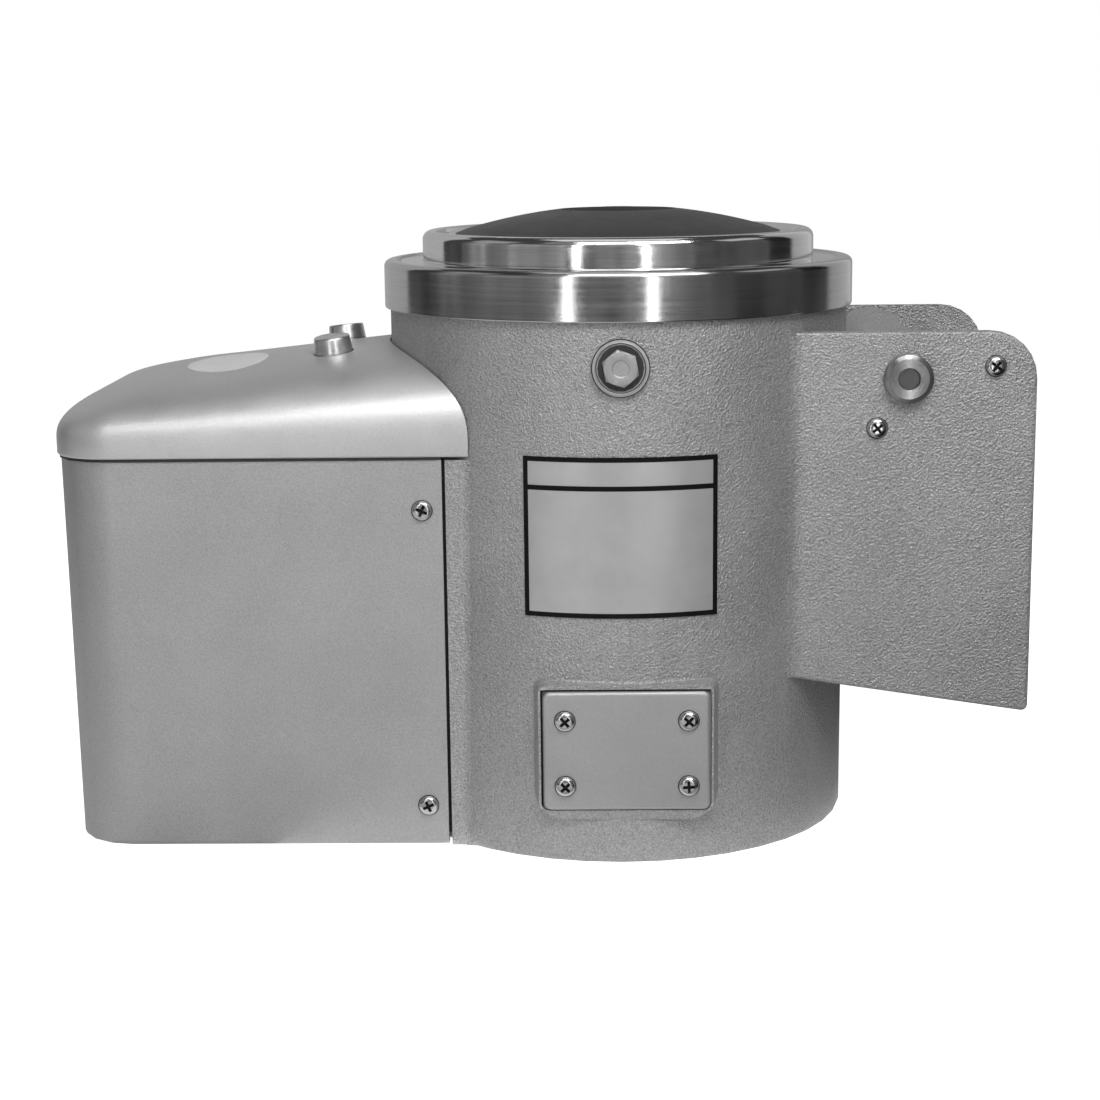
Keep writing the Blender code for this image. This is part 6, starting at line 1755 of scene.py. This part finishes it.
def node_finishes(axis: Vector) -> dict[str, bpy.types.Material]:
    """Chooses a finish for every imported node.

    Args:
        axis: A point on the drum's axis.

    Returns:
        The material of each node.
    """
    up = Vector((0.0, 0.0, 1.0))
    sand = CastFinish("cast_sand", Grain.SAND).material()
    fine = CastFinish("cast_fine", Grain.FINE, colour=0.42).material()
    smooth_plate = CastFinish("cast_plate", Grain.SMOOTH, colour=0.41).material()
    smooth = CastFinish("cast_smooth", Grain.SMOOTH, colour=0.58, roughness=0.38).material()
    polished = TurnedFinish("rim_marks", axis, up).material()
    ground = PlainMetalFinish("shaft_ground", (0.55, 0.55, 0.56), 0.30).material()
    sheet = PlainMetalFinish("sheet_plain", (0.50, 0.50, 0.51), 0.42).material()
    zinc = PlainMetalFinish("zinc_plate", (0.78, 0.78, 0.79), 0.20).material()
    brass = PlainMetalFinish("brass_turned", (0.62, 0.47, 0.22), 0.32).material()
    turned = PlainMetalFinish("steel_turned", (0.66, 0.66, 0.67), 0.28).material()
    rubber = MouldedFinish("rubber_black", (0.02, 0.02, 0.02), 0.55).material()
    lid = MouldedFinish("rubber_lid_plain", (0.03, 0.03, 0.032), 0.36).material()
    plastic = MouldedFinish("plastic_black", (0.03, 0.03, 0.03), 0.48).material()
    enamel = MouldedFinish("motor_enamel", (0.10, 0.11, 0.12), 0.42, coat=0.3).material()
    grit = GritFinish("grit_bonded").material()
    by_slot = {
        "cast_aluminium": fine, "polished_aluminium": polished, "lid_rubber": lid, "black_rubber": rubber,
        "abrasive": grit, "zinc_screw": zinc, "turned_steel": turned, "shaft_steel": ground, "sheet_steel": sheet,
        "motor_enamel": enamel, "black_plastic": plastic, "brass_tail": brass,
    }
    chosen = {row["node"]: by_slot[row["material_slot"]] for row in frame["record"]["subparts"]}
    chosen["drum_body"] = sand
    chosen["motor_cap"] = smooth
    chosen["access_plate"] = smooth_plate
    return chosen


def main() -> None:
    """Builds the machine's looks in order, from its castings to the studio."""
    low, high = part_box("rim_ring")
    axis = Vector(((low.x + high.x) / 2, (low.y + high.y) / 2, 0.0))
    up = Vector((0.0, 0.0, 1.0))
    Castings(node_finishes(axis)).build()
    # A near-black finish for the strips of painted shade in the gaps by the access plate and by the motor casing.
    gap_shade_black = MouldedFinish("gap_shade_black", (0.008, 0.008, 0.008), 0.6, gloss=0.1).material()
    AccessGapShade(gap_shade_black).build()
    CasingGapShades(gap_shade_black).build()
    PolishedTop(
        rim_finish=TurnedFinish("rim_polish", axis, up, colour=0.53, roughness=0.15).material(),
        cover_finish=TurnedFinish("cover_polish", axis, up, colour=0.70, roughness=0.11).material(),
        lid_finish=MouldedFinish("lid_skin", (0.024, 0.024, 0.025), 0.40, gloss=0.21).material(),
        crown_painted_shade=MouldedFinish("lid_crown", (0.010, 0.010, 0.011), 0.50, gloss=0.05).material(),
    ).build()

    def turned_steel(name: str, centre: Vector, direction: Vector) -> bpy.types.Material:
        """Turned steel about a piece's own axis."""
        return TurnedFinish(name, centre, direction, colour=0.70, roughness=0.36, mark_size=0.0003).material()

    cap = MotorCap(CastFinish("cap_skin", Grain.SMOOTH, colour=0.56, roughness=0.42).material()).build()
    PushButtons(turned_steel).build()

    def dull_steel(name: str, centre: Vector, direction: Vector) -> bpy.types.Material:
        """Darker turned steel, with a lathe's marks."""
        return TurnedFinish(name, centre, direction, colour=0.27, roughness=0.30, stretch=0.92,
                            mark_size=0.0004, mark_depth=0.000015).material()

    PivotCaps(dull_steel, PlainMetalFinish("pivot_floor_shade", (0.13, 0.13, 0.13), 0.42).material()).build()
    zinc = PlainMetalFinish("screw_zinc", (0.55, 0.55, 0.56), 0.20).material()
    shade = PlainMetalFinish("screw_recess_shade", (0.03, 0.03, 0.03), 0.50).material()
    PanScrews(zinc, shade).build()
    WaterPlug(
        finish=CastFinish("plug_skin", Grain.SMOOTH, colour=0.38).material(),
        ring_finish=CastFinish("boss_ring_skin", Grain.SMOOTH, colour=0.40, roughness=0.42).material(),
        groove_painted_shade=PlainMetalFinish("boss_groove_shade", (0.05, 0.05, 0.05), 0.55).material(),
    ).build()
    BareLabels(
        cap=cap,
        face_finish=PrintedFoilFinish("foil_silver", (0.44, 0.44, 0.44), 0.55, 0.42).material(),
        ink_finish=PrintedFoilFinish("foil_ink", (0.004, 0.004, 0.004), 0.0, 0.55, 0.12).material(),
        sticker_finish=PrintedFoilFinish("sticker_pale", (0.66, 0.66, 0.66), 0.2, 0.45).material(),
    ).build()
    Studio().build()


if __name__ == "__main__":
    logging.basicConfig(level=logging.INFO, format="%(name)s: %(message)s")
    main()
